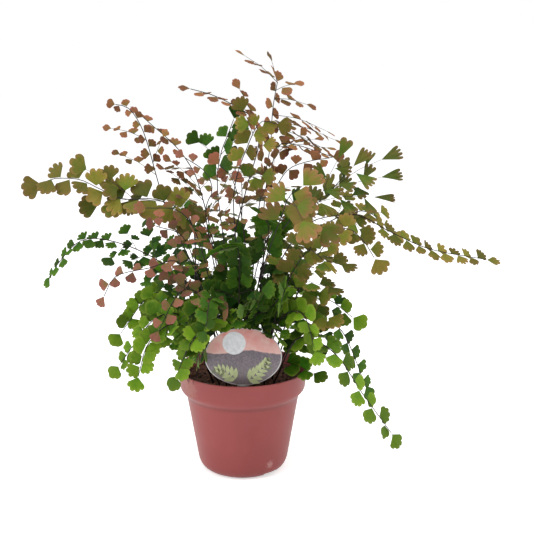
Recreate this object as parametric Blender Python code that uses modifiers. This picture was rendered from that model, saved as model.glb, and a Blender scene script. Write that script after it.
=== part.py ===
"""Maidenhair fern in a round nursery pot, with its soil and a plant label.

The fern is a clump of fronds. Each frond is one piece: a wiry stem that stands in a hole in the
soil, and side twigs that carry fan-shaped leaflets. A frond's blade is drawn flat, as a pressed
leaf, and every point of it is then carried to its place along the arching stem.

Lengths are in millimetres, and MM turns them to metres. +Z is up, the label faces -Y, and the
origin is the middle of the pot's base.
"""
import math
import random
from collections import namedtuple

import bmesh
import bpy
from mathutils import Matrix, Vector

MM = 0.001
UP = Vector((0, 0, 1))
CLEARANCE = 0.3

# Pot: a tapered cup with a straight band under its rim and drain notches in the base edge.
POT_HEIGHT = 97.0
RIM_RADIUS = 60.0
BAND_RADIUS = 57.6
BAND_HEIGHT = 19.0
BODY_RADIUS = 52.3
FOOT_RADIUS = 40.5
FOOT_ROUNDING = 11.0
WALL = 1.3
FLOOR = 1.6
TURN_STEPS = 36
NOTCHES = 3
FIRST_NOTCH = -45.0
NOTCH_SIZE = (8.0, 17.5, 9.0)

# Soil: a plug that fills the pot to just under the rim.
SOIL_TOP = 88.0

# Label: an oval head on a pointed stake, leaning back from the rim.
LABEL_SIZE = (68.3, 51.0)
LABEL_CENTRE = (1.5, -41.5, 119.0)
LABEL_LEAN = 8.0
LABEL_THICKNESS = 0.8
STAKE_WIDTH = 11.0
STAKE_END = 46.0

# Fern.
ROOT_DEPTH = 10.0
ROOT_LEAN = 0.3
STEM_RADIUS = 0.95
STEM_PIECES = 4
STEM_OVERLAP = 3.0
HOLE_RADIUS = 1.6
BLADE_THICKNESS = 0.8
MIDRIB_HALF_WIDTH = 0.42
NECK = 1.3
LONG_TWIG = 26.0
LEAF_PITCH = 0.76
TWIG_ROOM = 3.0
TIP_ANGLES = (math.radians(25), math.radians(110))
ROOM_BETWEEN = 3.2
FLAT_ROOM = 2.0
SAMPLE_STEP = 2.0
LEAF_SPREAD = 41.0
LEAF_EDGE = ((1.0, 0.78), (0.5, 1.0), (0.0, 0.86), (-0.5, 1.0), (-1.0, 0.78))
SMALL_LEAF_EDGE = ((1.0, 0.74), (0.4, 1.0), (-0.4, 1.0), (-1.0, 0.74))
SMALL_LEAF = 16.5

COLOURS = {
    "olive": (0.24, 0.22, 0.05),
    "bronze": (0.28, 0.15, 0.06),
    "rust": (0.36, 0.17, 0.08),
    "copper": (0.36, 0.20, 0.08),
    "rose": (0.30, 0.12, 0.09),
    "strap": (0.10, 0.16, 0.03),
    "green": (0.05, 0.14, 0.02),
    "bright": (0.12, 0.29, 0.03),
}

# blade is the share of the stem below the first twig, reach the longest twig, and facing the way
# that the blade's upper side looks. Tips are where more twigs end, each with the share of the stem
# below it.
Frond = namedtuple("Frond", "name foot route blade reach twigs leaf facing tone tips", defaults=((),))
FRONDS = (
    Frond("west_high", (-20, -9), ((-40, -22, 158), (-42, -34, 235), (-69, -42, 258), (-99, -46, 260),
          (-119, -48, 269), (-135, -50, 277), (-155, -50, 278), (-167, -50, 274)), 0.5, 24, 8, 20,
          (-0.1, -0.8, 0.55), "olive", ((0.64, (-120, -44, 255)),)),
    Frond("west_shoulder", (-10, -5), ((-24, -34, 168), (-36, -46, 224), (-51, -56, 251),
          (-78, -62, 255)), 0.52, 26, 6, 12, (-0.05, -0.6, 0.85), "rust"),
    Frond("west_fine", (-18, 5), ((-36, 2, 168), (-67, 6, 240), (-76, 6, 271), (-83, 6, 299),
          (-90, 6, 319), (-100, 6, 333), (-111, 6, 336)), 0.74, 8, 3, 10, (-0.15, -0.6, 0.8), "bronze",
          ((0.7, (-110, 6, 292)), (0.76, (-70, 6, 307)), (0.84, (-115, 6, 315)))),
    Frond("west_arch", (-10, 18), ((-20, 22, 174), (-39, 30, 257), (-51, 30, 284), (-65, 30, 301),
          (-82, 30, 316), (-93, 30, 326)), 0.62, 24, 5, 11, (-0.1, -0.6, 0.9), "rust", ((0.62,
          (-70, 24, 276)),)),
    Frond("north_west", (-6, -4), ((-10, -6, 196), (4, -6, 262), (15, -4, 301), (11, -4, 323),
          (-3, -4, 334), (-23, -4, 344), (-36, -4, 348), (-44, -4, 350)), 0.62, 16, 4, 12,
          (0.2, -0.6, 0.9), "bronze", ((0.78, (-1, -2, 349)), (0.82, (22, -2, 342)))),
    Frond("crown", (-1, -10), ((-4, -20, 200), (-6, -26, 264), (8, -28, 308), (18, -30, 324),
          (30, -32, 322)), 0.68, 24, 6, 16, (0.1, -0.8, 0.6), "olive", ((0.9, (3, -30, 332)), (0.84,
          (18, -34, 304)))),
    Frond("north_mid", (-6, 4), ((-14, 10, 186), (-22, 8, 260), (-19, 6, 291), (-12, 4, 310),
          (-7, 4, 323)), 0.74, 20, 3, 15, (-0.1, -0.75, 0.65), "green", ((0.84, (-37, 6, 302)), (0.86,
          (1, -6, 309)))),
    Frond("mid_rose", (-15, -4), ((-22, -14, 176), (-30, -38, 245), (-24, -44, 267), (-30, -44, 283),
          (-47, -44, 295)), 0.55, 30, 6, 12, (0, -0.6, 0.85), "rose", ((0.7, (-4, -40, 286)),)),
    Frond("mid_bronze", (1, -4), ((4, -6, 190), (-1, -10, 245), (-8, -12, 272),
          (-19, -14, 285)), 0.55, 34, 6, 15, (0, -0.6, 0.8), "rust"),
    Frond("north", (0, 9), ((8, 14, 166), (14, 24, 234), (25, 28, 294), (27, 28, 323), (29, 33, 339),
          (32, 40, 354)), 0.8, 8, 3, 10, (0.55, -0.6, 0.8), "bronze", ((0.985, (3, 42, 377)), (0.955,
          (44, 42, 357)), (0.925, (58, 42, 334)), (0.885, (76, 44, 310)), (0.84, (71, 36, 296)))),
    Frond("north_east", (7, 14), ((18, 22, 164), (20, 34, 246), (27, 24, 280), (34, 14, 300),
          (52, 12, 299), (82, 10, 289)), 0.7, 20, 3, 11, (0.45, -0.6, 0.85), "bronze", ((0.78,
          (64, 20, 304)), (0.8, (75, 16, 297)))),
    Frond("east_ridge", (9, 7), ((18, 0, 188), (26, 4, 260), (30, 2, 263), (41, 0, 279), (57, 0, 286),
          (80, 0, 290)), 0.6, 26, 6, 12, (0.4, -0.6, 0.85), "bronze", ((0.66, (18, -4, 286)),)),
    Frond("east_high", (12, -2), ((20, -14, 192), (48, -20, 244), (70, -22, 255), (84, -24, 271),
          (96, -24, 284)), 0.62, 30, 3, 22, (0.2, -0.6, 0.75), "strap", ((0.9, (120, -22, 290)), (0.86,
          (120, -22, 275)), (0.8, (114, -22, 258)))),
    Frond("east_mid", (17, 7), ((28, 10, 176), (58, 14, 226), (94, 16, 236), (115, 18, 238),
          (137, 20, 219)), 0.46, 32, 8, 16, (0.25, -0.6, 0.8), "olive"),
    Frond("east_long", (21, -1), ((48, -14, 164), (66, -20, 224), (97, -24, 243), (130, -26, 228),
          (165, -28, 213), (214, -30, 204)), 0.4, 30, 10, 14, (0.2, -0.6, 0.82), "olive"),
    Frond("east_low", (22, -11), ((50, -44, 180), (72, -60, 224), (88, -64, 238), (102, -68, 229),
          (112, -70, 214)), 0.42, 32, 6, 17, (0.1, -0.7, 0.7), "olive"),
    Frond("near_bronze", (5, -18), ((14, -42, 180), (35, -80, 253), (41, -92, 270),
          (50, -98, 278)), 0.66, 20, 3, 25, (0.05, -0.9, 0.4), "copper", ((0.93, (52, -108, 258)), (0.9,
          (66, -104, 255)), (0.97, (66, -96, 275)))),
    Frond("near_right", (16, -14), ((36, -40, 176), (55, -70, 219), (61, -78, 221),
          (68, -82, 215)), 0.6, 28, 3, 18, (0.2, -0.8, 0.5), "olive"),
    Frond("west_mid", (-25, -4), ((-56, -24, 180), (-71, -34, 203), (-104, -42, 221), (-134, -46, 225),
          (-153, -48, 209), (-164, -48, 193)), 0.36, 26, 10, 11, (-0.15, -0.6, 0.85), "green"),
    Frond("west_rose", (-17, -17), ((-44, -52, 176), (-52, -72, 211), (-74, -86, 209), (-101, -90, 203),
          (-111, -92, 187)), 0.46, 24, 5, 11, (-0.1, -0.85, 0.45), "rose"),
    Frond("west_inner", (-10, -13), ((-35, -36, 182), (-47, -66, 230), (-68, -86, 244)), 0.44, 38, 6, 13,
          (-0.1, -0.7, 0.7), "rose"),
    Frond("mound_w1", (-27, -17), ((-50, -44, 154), (-74, -60, 158), (-104, -70, 120)), 0.24, 36, 10, 16,
          (-0.5, -0.7, 0.5), "bright"),
    Frond("mound_w2", (-21, -25), ((-40, -38, 132), (-58, -68, 156), (-76, -92, 146),
          (-84, -98, 120)), 0.24, 36, 10, 16, (-0.35, -0.8, 0.45), "bright"),
    Frond("mound_w3", (-14, -28), ((-15, -33, 144), (-22, -62, 160), (-40, -94, 148),
          (-52, -102, 122)), 0.24, 32, 9, 16, (-0.2, -0.9, 0.4), "bright"),
    Frond("mound_w4", (-26, 3), ((-52, -10, 158), (-80, -18, 170), (-108, -26, 136)), 0.28, 36, 8, 16,
          (-0.45, -0.7, 0.55), "bright"),
    Frond("mound_w5", (-12, -22), ((-21, -35, 158), (-36, -62, 182), (-50, -86, 188),
          (-66, -100, 160)), 0.34, 30, 6, 11, (-0.3, -0.8, 0.5), "rose"),
    Frond("mound_c1", (-5, -27), ((-7, -31, 148), (-16, -60, 172), (-24, -90, 184),
          (-27, -112, 164)), 0.28, 34, 7, 15, (-0.1, -0.8, 0.6), "green"),
    Frond("mound_c2", (3, -29), ((4, -30, 150), (15, -66, 170), (12, -84, 183),
          (5, -94, 179)), 0.26, 34, 8, 15, (0, -0.85, 0.5), "green"),
    Frond("mound_c3", (11, -24), ((15, -29, 146), (30, -56, 172), (37, -80, 190),
          (34, -94, 182)), 0.28, 34, 7, 16, (0.1, -0.8, 0.6), "green"),
    Frond("mound_e1", (20, -25), ((28, -32, 140), (42, -58, 164), (54, -80, 166),
          (62, -96, 142)), 0.26, 34, 8, 16, (0.2, -0.8, 0.55), "bright"),
    Frond("mound_e2", (27, -13), ((46, -32, 152), (72, -44, 172), (96, -52, 158)), 0.26, 34, 8, 17,
          (0.3, -0.75, 0.6), "bright"),
    Frond("trail_east", (29, -21), ((50, -54, 140), (80, -66, 130), (104, -72, 96),
          (130, -74, 60)), 0.28, 16, 6, 13, (0.35, -0.8, 0.5), "bright"),
    Frond("drop_east", (28, -5), ((52, -12, 134), (86, -18, 140), (112, -22, 86)), 0.28, 30, 8, 15,
          (0.4, -0.75, 0.5), "green"),
    Frond("centre_1", (-3, -17), ((-2, -40, 170), (-2, -56, 218), (-16, -76, 222)), 0.45, 38, 7, 17,
          (-0.1, -0.75, 0.6), "green"),
    Frond("centre_2", (5, -11), ((14, -24, 176), (24, -36, 230), (18, -60, 248)), 0.42, 44, 7, 17,
          (0.1, -0.7, 0.65), "green"),
    Frond("centre_3", (-12, 11), ((-20, 10, 166), (-34, 20, 224), (-64, 24, 234)), 0.38, 48, 8, 16,
          (-0.2, -0.6, 0.75), "green"),
    Frond("centre_4", (4, 0), ((8, 6, 160), (20, 13, 208), (46, 11, 246)), 0.34, 50, 8, 17,
          (0.1, -0.65, 0.75), "green"),
    Frond("back_w", (-16, 23), ((-28, 50, 148), (-58, 84, 224), (-96, 120, 212)), 0.4, 46, 7, 14,
          (-0.35, -0.1, 0.9), "green"),
    Frond("back_n", (-3, 25), ((-4, 50, 148), (-2, 90, 248), (-10, 140, 262)), 0.45, 46, 7, 14,
          (0, 0.1, 0.95), "olive"),
    Frond("back_e", (12, 21), ((18, 50, 148), (46, 80, 236), (86, 116, 222)), 0.4, 46, 7, 14,
          (0.35, -0.1, 0.9), "olive"),
    Frond("back_low_w", (-23, 18), ((-30, 46, 118), (-54, 86, 148), (-72, 124, 100)), 0.3, 36, 6, 14,
          (-0.3, 0.3, 0.8), "bright"),
    Frond("back_low_e", (20, 16), ((32, 46, 118), (56, 84, 152), (76, 118, 108)), 0.3, 36, 6, 14,
          (0.3, 0.3, 0.8), "bright"),
)


def clear_scene():
    for obj in list(bpy.data.objects):
        bpy.data.objects.remove(obj, do_unlink=True)


def new_collection(name):
    collection = bpy.data.collections.new(name)
    bpy.context.scene.collection.children.link(collection)
    return collection


def material(name, colour, roughness):
    made = bpy.data.materials.new(name)
    made.use_nodes = True
    shader = made.node_tree.nodes["Principled BSDF"]
    shader.inputs["Base Color"].default_value = (*colour, 1)
    shader.inputs["Roughness"].default_value = roughness
    return made


def add_object(name, mesh, collection, surface=None):
    obj = bpy.data.objects.new(name, mesh)
    collection.objects.link(obj)
    if surface:
        mesh.materials.append(surface)
    return obj


def mesh_from(name, bm):
    mesh = bpy.data.meshes.new(name)
    bm.to_mesh(mesh)
    bm.free()
    return mesh


def hide_cutter(obj):
    obj.hide_render = True
    obj.display_type = "WIRE"


def add_boolean(obj, operation, cutters, solver="EXACT"):
    """Cut obj by, or join it with, all objects of a collection."""
    boolean = obj.modifiers.new(operation.title(), "BOOLEAN")
    boolean.operation = operation
    boolean.operand_type = "COLLECTION"
    boolean.collection = cutters
    boolean.solver = solver


def rounded(corners, arc_steps=2):
    """Points of a profile of (radius, height, rounding) corners, each rounded by an arc."""
    points = []
    for index, (radius, height, rounding) in enumerate(corners):
        corner = Vector((radius, height))
        if rounding == 0:
            points.append(corner)
            continue
        before = (Vector(corners[index - 1][:2]) - corner).normalized()
        after = (Vector(corners[index + 1][:2]) - corner).normalized()
        for step in range(arc_steps + 1):
            share = step / arc_steps
            points.append(corner + rounding * ((1 - share) ** 2 * before + share ** 2 * after))
    return points


def turned(name, profile, collection, surface):
    """A closed profile of (radius, height) points, turned round the Z axis."""
    bm = bmesh.new()
    verts = [bm.verts.new((radius * MM, 0, height * MM)) for radius, height in profile]
    for start, end in zip(verts, verts[1:]):
        bm.edges.new((start, end))
    obj = add_object(name, mesh_from(name, bm), collection, surface)
    screw = obj.modifiers.new("Screw", "SCREW")
    screw.steps = TURN_STEPS
    screw.render_steps = TURN_STEPS
    screw.use_merge_vertices = True
    screw.merge_threshold = 0.00001
    return obj


def pot_inside():
    """The inner wall's corners, from the floor's middle up to the rim."""
    band_foot = POT_HEIGHT - BAND_HEIGHT
    return [
        (0, FLOOR, 0),
        (FOOT_RADIUS - 1.6, FLOOR, FOOT_ROUNDING - 1.0),
        (BODY_RADIUS - WALL, band_foot - 6.0, 0),
        (BAND_RADIUS - WALL, band_foot, 0),
        (RIM_RADIUS - 1.6, POT_HEIGHT - 1.5, 0),
    ]


def build_pot(collection):
    band_foot = POT_HEIGHT - BAND_HEIGHT
    outside = rounded([
        (RIM_RADIUS - 1.6, POT_HEIGHT - 0.6, 0),
        (RIM_RADIUS - 1.1, POT_HEIGHT, 0),
        (RIM_RADIUS, POT_HEIGHT, 0.8),
        (BAND_RADIUS, band_foot, 1.0),
        (BODY_RADIUS, band_foot - 6.0, 1.4),
        (FOOT_RADIUS, 0, FOOT_ROUNDING),
        (0, 0, 0),
    ])
    inside = rounded(pot_inside())
    surface = material("pot_plastic", (0.36, 0.09, 0.08), 0.45)
    pot = turned("pot", outside + inside + outside[:1], collection, surface)

    notches = new_collection("pot_notches")
    for index in range(NOTCHES):
        angle = math.radians(FIRST_NOTCH) + math.tau * index / NOTCHES
        bm = bmesh.new()
        bmesh.ops.create_cube(bm, size=1)
        bmesh.ops.scale(bm, vec=Vector(NOTCH_SIZE) * MM, verts=bm.verts)
        notch = add_object(f"notch_{index}", mesh_from("notch", bm), notches)
        notch.location = (math.cos(angle) * FOOT_RADIUS * MM, math.sin(angle) * FOOT_RADIUS * MM, 0)
        notch.rotation_euler.z = angle
        hide_cutter(notch)
    add_boolean(pot, "DIFFERENCE", notches)
    pot.data.shade_smooth()
    return pot


def build_soil(collection):
    """The plug follows the pot's inner wall, a little inside it."""
    wall = rounded(pot_inside())
    inner = [(0, FLOOR + CLEARANCE)]
    for radius, height in wall[1:-1]:
        inner.append((radius - CLEARANCE, height + CLEARANCE))
    band, rim = Vector(wall[-2]), Vector(wall[-1])
    top_radius = band.lerp(rim, (SOIL_TOP - band.y) / (rim.y - band.y)).x
    inner.append((top_radius - CLEARANCE, SOIL_TOP - 1.0))
    inner.append((top_radius - CLEARANCE - 1.2, SOIL_TOP))
    inner.append((0, SOIL_TOP))
    surface = material("soil", (0.07, 0.03, 0.02), 0.95)
    soil = turned("soil", [(0, SOIL_TOP)] + inner[-2:0:-1] + [inner[0]], collection, surface)
    return soil


def label_frame():
    """Where the label's plane lies: X across it, Y up it, Z out of its front."""
    tilt = Matrix.Rotation(math.radians(90 - LABEL_LEAN), 4, "X")
    return Matrix.Translation(Vector(LABEL_CENTRE) * MM) @ tilt


def build_label(collection, soil_cutters):
    half_width, half_height = LABEL_SIZE[0] / 2, LABEL_SIZE[1] / 2
    half_stake = STAKE_WIDTH / 2
    gap = math.asin(half_stake / half_width)
    outline = []
    arc_steps = 30
    for step in range(arc_steps + 1):
        angle = -math.pi / 2 + gap + (math.tau - 2 * gap) * step / arc_steps
        outline.append((half_width * math.cos(angle), half_height * math.sin(angle)))
    outline += [(-half_stake, -STAKE_END + half_stake), (0, -STAKE_END), (half_stake, -STAKE_END + half_stake)]

    curve = bpy.data.curves.new("label", "CURVE")
    curve.dimensions = "2D"
    curve.fill_mode = "BOTH"
    curve.extrude = LABEL_THICKNESS / 2 * MM
    spline = curve.splines.new("POLY")
    spline.points.add(len(outline) - 1)
    for point, (x, y) in zip(spline.points, outline):
        point.co = (x * MM, y * MM, 0, 1)
    spline.use_cyclic_u = True
    surface = material("label", (0.45, 0.32, 0.33), 0.35)
    label = mesh_object("label", curve, label_frame(), collection, surface)

    bm = bmesh.new()
    bmesh.ops.create_cube(bm, size=1)
    width = STAKE_WIDTH + 2 * CLEARANCE
    depth = LABEL_THICKNESS + 2 * CLEARANCE
    bmesh.ops.scale(bm, vec=Vector((width, STAKE_END, depth)) * MM, verts=bm.verts)
    bmesh.ops.translate(bm, vec=Vector((0, -STAKE_END / 2 - CLEARANCE, 0)) * MM, verts=bm.verts)
    slot = add_object("label_slot", mesh_from("label_slot", bm), soil_cutters)
    slot.matrix_world = label_frame()
    hide_cutter(slot)
    return label


def mesh_object(name, curve, matrix, collection, surface=None):
    """Turn a curve into a welded mesh object in its place."""
    drawn = bpy.data.objects.new(name, curve)
    bpy.context.scene.collection.objects.link(drawn)
    drawn.matrix_world = matrix
    bpy.context.view_layer.update()
    evaluated = drawn.evaluated_get(bpy.context.evaluated_depsgraph_get())
    bm = bmesh.new()
    bm.from_mesh(evaluated.to_mesh())
    bmesh.ops.remove_doubles(bm, verts=bm.verts, dist=0.00001)
    bmesh.ops.recalc_face_normals(bm, faces=bm.faces)
    bpy.data.objects.remove(drawn, do_unlink=True)
    obj = add_object(name, mesh_from(name, bm), collection, surface)
    obj.matrix_world = matrix
    return obj


class Line:
    """A smooth line through a few points, read by the length along it."""

    def __init__(self, points, bends=12):
        points = [Vector(point) for point in points]
        ends = [2 * points[0] - points[1]] + points + [2 * points[-1] - points[-2]]
        self.places = []
        for a, b, c, d in zip(ends, ends[1:], ends[2:], ends[3:]):
            for bend in range(bends):
                t = bend / bends
                self.places.append(0.5 * (2 * b + (c - a) * t + (2 * a - 5 * b + 4 * c - d) * t * t
                                          + (3 * b - a - 3 * c + d) * t ** 3))
        self.places.append(points[-1])
        self.runs = [0.0]
        for start, end in zip(self.places, self.places[1:]):
            self.runs.append(self.runs[-1] + (end - start).length)
        self.length = self.runs[-1]

    def between(self, values, run):
        """The value at a run, from values given at each place."""
        run = min(max(run, 0.0), self.length)
        index = 1
        while self.runs[index] < run:
            index += 1
        share = (run - self.runs[index - 1]) / (self.runs[index] - self.runs[index - 1])
        return values[index - 1].lerp(values[index], share)

    def place(self, run):
        return self.between(self.places, run)

    def heading(self, run):
        return (self.place(run + 1.5) - self.place(run - 1.5)).normalized()


def square_to(along, direction):
    """The part of a direction that stands square to along."""
    return (direction - direction.dot(along) * along).normalized()


def carried_normals(line, facing, faced_run):
    """A normal at each place: facing at one run, carried both ways without twist."""
    first = min(range(len(line.runs)), key=lambda index: abs(line.runs[index] - faced_run))
    normals = {first: square_to(line.heading(line.runs[first]), facing)}
    for index in range(first + 1, len(line.runs)):
        normals[index] = square_to(line.heading(line.runs[index]), normals[index - 1])
    for index in range(first - 1, -1, -1):
        normals[index] = square_to(line.heading(line.runs[index]), normals[index + 1])
    return [normals[index] for index in range(len(line.runs))]


class Twig:
    """A stem or side twig, in its place and as it lies in the flat blade."""

    def __init__(self, key, line, facing, faced_run, flat_place, flat_angle, half_width):
        self.key = key
        self.line = line
        self.normals = carried_normals(line, facing, faced_run)
        self.flat_place = flat_place
        self.flat_angle = flat_angle
        self.half_width = half_width
        self.arches = "stem" in key or line.length > LONG_TWIG
        self.reach = line.length
        self.shoots = []

    def frame(self, run):
        along = self.line.heading(run)
        normal = square_to(along, self.line.between(self.normals, run))
        return self.line.place(run), along, normal.cross(along), normal

    def flat(self, run, side=0.0):
        turned_by = Matrix.Rotation(self.flat_angle, 2)
        return self.flat_place + turned_by @ Vector((run, side))

    def point(self, run, side):
        place, along, across, normal = self.frame(run)
        return self.flat(run, side), place + side * across

    def width_at(self, run):
        """Twigs thin out towards the tip, quickly at first."""
        return self.half_width * (0.8 + 0.2 * (1 - run / self.line.length) ** 2)

    def side_points(self, side):
        """The edge of one side from base to tip, with all that grows from it."""
        points = []
        for shoot in sorted(self.shoots, key=lambda shoot: shoot.run):
            width = side * self.width_at(shoot.run)
            if shoot.side == side:
                points.append(self.point(shoot.run - NECK / 2, width))
                points += shoot.grown.around(side)
                points.append(self.point(shoot.run + NECK / 2, width))
            elif shoot.side == -side and self.arches:
                points.append(self.point(shoot.run, width))
        return points

    def around(self, first_side):
        """The outline from the base, up the first side, round the end leaflet and back down."""
        end = [shoot for shoot in self.shoots if shoot.side == 0][0]
        width = first_side * self.width_at(end.run)
        points = self.side_points(first_side)
        points.append(self.point(end.run, width))
        points += end.grown.around(first_side)
        points.append(self.point(end.run, -width))
        return points + self.side_points(-first_side)[::-1]


class Leaflet:
    """A fan-shaped leaflet: a wedge with a lobed outer edge."""

    def __init__(self, place, along, normal, length, flat_place, flat_angle):
        self.place = place
        self.along = along
        self.normal = normal
        self.across = normal.cross(along)
        self.length = length
        self.flat_place = flat_place
        self.flat_angle = flat_angle
        self.spread = math.radians(LEAF_SPREAD)

    def point(self, radius, angle, lift=0.0):
        x, y = radius * math.cos(angle), radius * math.sin(angle)
        flat = self.flat_place + Matrix.Rotation(self.flat_angle, 2) @ Vector((x, y))
        return flat, self.place + x * self.along + y * self.across + lift * self.normal

    def around(self, first_side):
        edge = SMALL_LEAF_EDGE if self.length < SMALL_LEAF else LEAF_EDGE
        points = []
        for share, radius in edge:
            lift = 0.05 * self.length * (radius - 0.86) / 0.14
            points.append(self.point(radius * self.length, first_side * share * self.spread, lift))
        return points

    def samples(self):
        """Points spread over the leaflet, as (flat, grown) pairs."""
        points = []
        rings = max(2, math.ceil(0.8 * self.length / SAMPLE_STEP))
        for ring in range(rings + 1):
            radius = self.length * (0.2 + 0.8 * ring / rings)
            steps = max(2, math.ceil(2 * radius * self.spread / SAMPLE_STEP))
            for step in range(steps + 1):
                points.append(self.point(radius, self.spread * (2 * step / steps - 1)))
        return points


Shoot = namedtuple("Shoot", "run side grown")


class Room:
    """The space already taken, as points sorted into cells."""

    def __init__(self, gap):
        self.gap = gap
        self.cells = {}

    def cell(self, point):
        return tuple(math.floor(value / self.gap) for value in point)

    def add(self, key, points):
        for point in points:
            self.cells.setdefault(self.cell(point), []).append((key, point))

    def free(self, points, ignore=()):
        """True where no taken point of another key lies nearer than the gap."""
        for point in points:
            i, j, k = self.cell(point)
            for cell in ((i + a, j + b, k + c) for a in (-1, 0, 1) for b in (-1, 0, 1) for c in (-1, 0, 1)):
                for key, other in self.cells.get(cell, ()):
                    if key not in ignore and (other - point).length < self.gap:
                        return False
        return True


def fill_holder(room):
    """Take up the pot's outside, the soil's top and the label."""
    for row in range(int(POT_HEIGHT / SAMPLE_STEP) + 2):
        height = min(row * SAMPLE_STEP, POT_HEIGHT)
        radius = RIM_RADIUS - max(0.0, POT_HEIGHT - BAND_HEIGHT - height) * 0.25
        steps = math.ceil(math.tau * radius / SAMPLE_STEP)
        room.add("pot", [Vector((radius * math.cos(math.tau * step / steps),
                                 radius * math.sin(math.tau * step / steps), height)) for step in range(steps)])
    half = int(RIM_RADIUS / SAMPLE_STEP)
    for column in range(-half, half + 1):
        for row in range(-half, half + 1):
            spot = Vector((column * SAMPLE_STEP, row * SAMPLE_STEP, SOIL_TOP))
            if spot.to_2d().length < BAND_RADIUS:
                room.add("soil", [spot])
    frame = label_frame()
    across = int(LABEL_SIZE[0] / 2 / SAMPLE_STEP)
    up = int(LABEL_SIZE[1] / 2 / SAMPLE_STEP)
    for column in range(-across - 1, across + 2):
        for row in range(-up - 1, up + 2):
            x, y = column * SAMPLE_STEP, row * SAMPLE_STEP
            if (2 * x / LABEL_SIZE[0]) ** 2 + (2 * y / LABEL_SIZE[1]) ** 2 < 1.1:
                room.add("label", [frame @ (Vector((x, y, 0)) * MM) / MM])


def line_samples(line, start, step=1.5):
    count = max(1, int((line.length - start) / step))
    return [line.place(start + (line.length - start) * index / count) for index in range(count + 1)]


def stem_line(frond):
    """The stem runs straight through the soil, then on along its route."""
    foot = Vector((*frond.foot, SOIL_TOP + 1))
    lead = (Vector(frond.route[0]) - foot).normalized()
    root = foot - (ROOT_DEPTH + 1) * Vector((ROOT_LEAN * lead.x, ROOT_LEAN * lead.y, 1))
    return root, Line((foot, foot + 8 * lead) + frond.route)


def new_twig(frond, stem, number, run, side, angle, ends, turn, room):
    """A twig off the stem, cut short where another frond is in its way."""
    line = Line(ends, bends=6)
    clear = line_samples(line, 0)
    whole = len(clear) - 1
    while len(clear) > 1 and not room.free(clear[2:], ignore=(stem.key,)):
        clear.pop()
    normal = stem.frame(run)[3] + turn
    twig = Twig((frond.name, number), line, normal, 0.0, stem.flat(run), stem.flat_angle + side * angle,
                MIDRIB_HALF_WIDTH)
    twig.reach = line.length * (len(clear) - 1) / whole
    room.add(twig.key, clear[2:])
    return run, side, twig


def plan_twigs(frond, stem, room):
    """Side twigs, shorter towards the tip, and the twigs whose ends are given."""
    rng = random.Random(frond.name)
    start = frond.blade * stem.line.length
    twigs = []
    for index in range(frond.twigs):
        share = index / frond.twigs
        run = start + (stem.line.length - start) * 0.96 * share ** 0.9
        side = 1 if index % 2 else -1
        angle = math.radians(68 - 28 * share + rng.uniform(-6, 6))
        lift = rng.uniform(-0.15, 0.15)
        reach = max(frond.reach * (1 - share) ** 0.8 * rng.uniform(0.88, 1.08), 0.9 * frond.leaf)
        sag = rng.uniform(0.02, 0.1)
        turn = Vector((rng.uniform(-0.25, 0.25), rng.uniform(-0.25, 0.25), rng.uniform(-0.25, 0.25)))
        place, along, across, normal = stem.frame(run)
        heading = (math.cos(angle) * along + side * math.sin(angle) * across + lift * normal).normalized()
        ends = [place + share_out * reach * heading - sag * reach * share_out ** 2 * UP
                for share_out in (0, 0.5, 1)]
        twigs.append(new_twig(frond, stem, index, run, side, angle, ends, turn, room))
    for index, (share, tip) in enumerate(frond.tips):
        run = share * stem.line.length
        place, along, across, normal = stem.frame(run)
        way = Vector(tip) - place
        side = 1 if way.dot(across) > 0 else -1
        angle = min(max(way.angle(along), TIP_ANGLES[0]), TIP_ANGLES[1])
        ends = [place, place + way / 2 + 0.06 * way.length * UP, place + way]
        if all(abs(run - other) > TWIG_ROOM for other, other_side, twig in twigs if other_side == side):
            twigs.append(new_twig(frond, stem, frond.twigs + index, run, side, angle, ends, Vector(), room))
    return twigs


def add_leaflet(frond, twig, run, side, length, angle, rng, room, flat_room):
    """Grow a leaflet where it is clear of all others, smaller if need be."""
    place, along, across, normal = twig.frame(run)
    heading = math.cos(angle) * along + side * math.sin(angle) * across
    heading = (heading - rng.uniform(0.0, 0.2) * UP * abs(side)).normalized()
    tilt = rng.uniform(-0.2, 0.2) * across * abs(side)
    normal = square_to(heading, normal + tilt)
    for size in (1.0, 0.82):
        leaflet = Leaflet(place, heading, normal, size * length, twig.flat(run),
                          twig.flat_angle + side * angle)
        flat, grown = zip(*leaflet.samples())
        flat = [point.to_3d() for point in flat]
        if room.free(grown, ignore=(twig.key,)) and flat_room.free(flat, ignore=(twig.key,)):
            key = (*twig.key, run)
            room.add(key, grown)
            flat_room.add(key, flat)
            twig.shoots.append(Shoot(run, side, leaflet))
            return True
    return False


def leaf_twig(frond, twig, rng, room, flat_room):
    """Leaflets alternate along a twig, and one ends it."""
    leaf = frond.leaf
    reach = twig.reach
    placed = False
    while reach > 0.3 * leaf and not placed:
        placed = add_leaflet(frond, twig, reach, 0, 0.85 * leaf, 0.0, rng, room, flat_room)
        if not placed:
            reach -= 0.3 * leaf
    if not placed:
        return False
    side = 1 if rng.random() < 0.5 else -1
    run = 0.6 * leaf
    while run < reach - 0.4 * leaf:
        length = leaf * (1 - 0.25 * run / reach) * rng.uniform(0.88, 1.06)
        angle = math.radians(60 + rng.uniform(-6, 6))
        add_leaflet(frond, twig, run, side, length, angle, rng, room, flat_room)
        run += LEAF_PITCH * leaf
        side = -side
    return True


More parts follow.
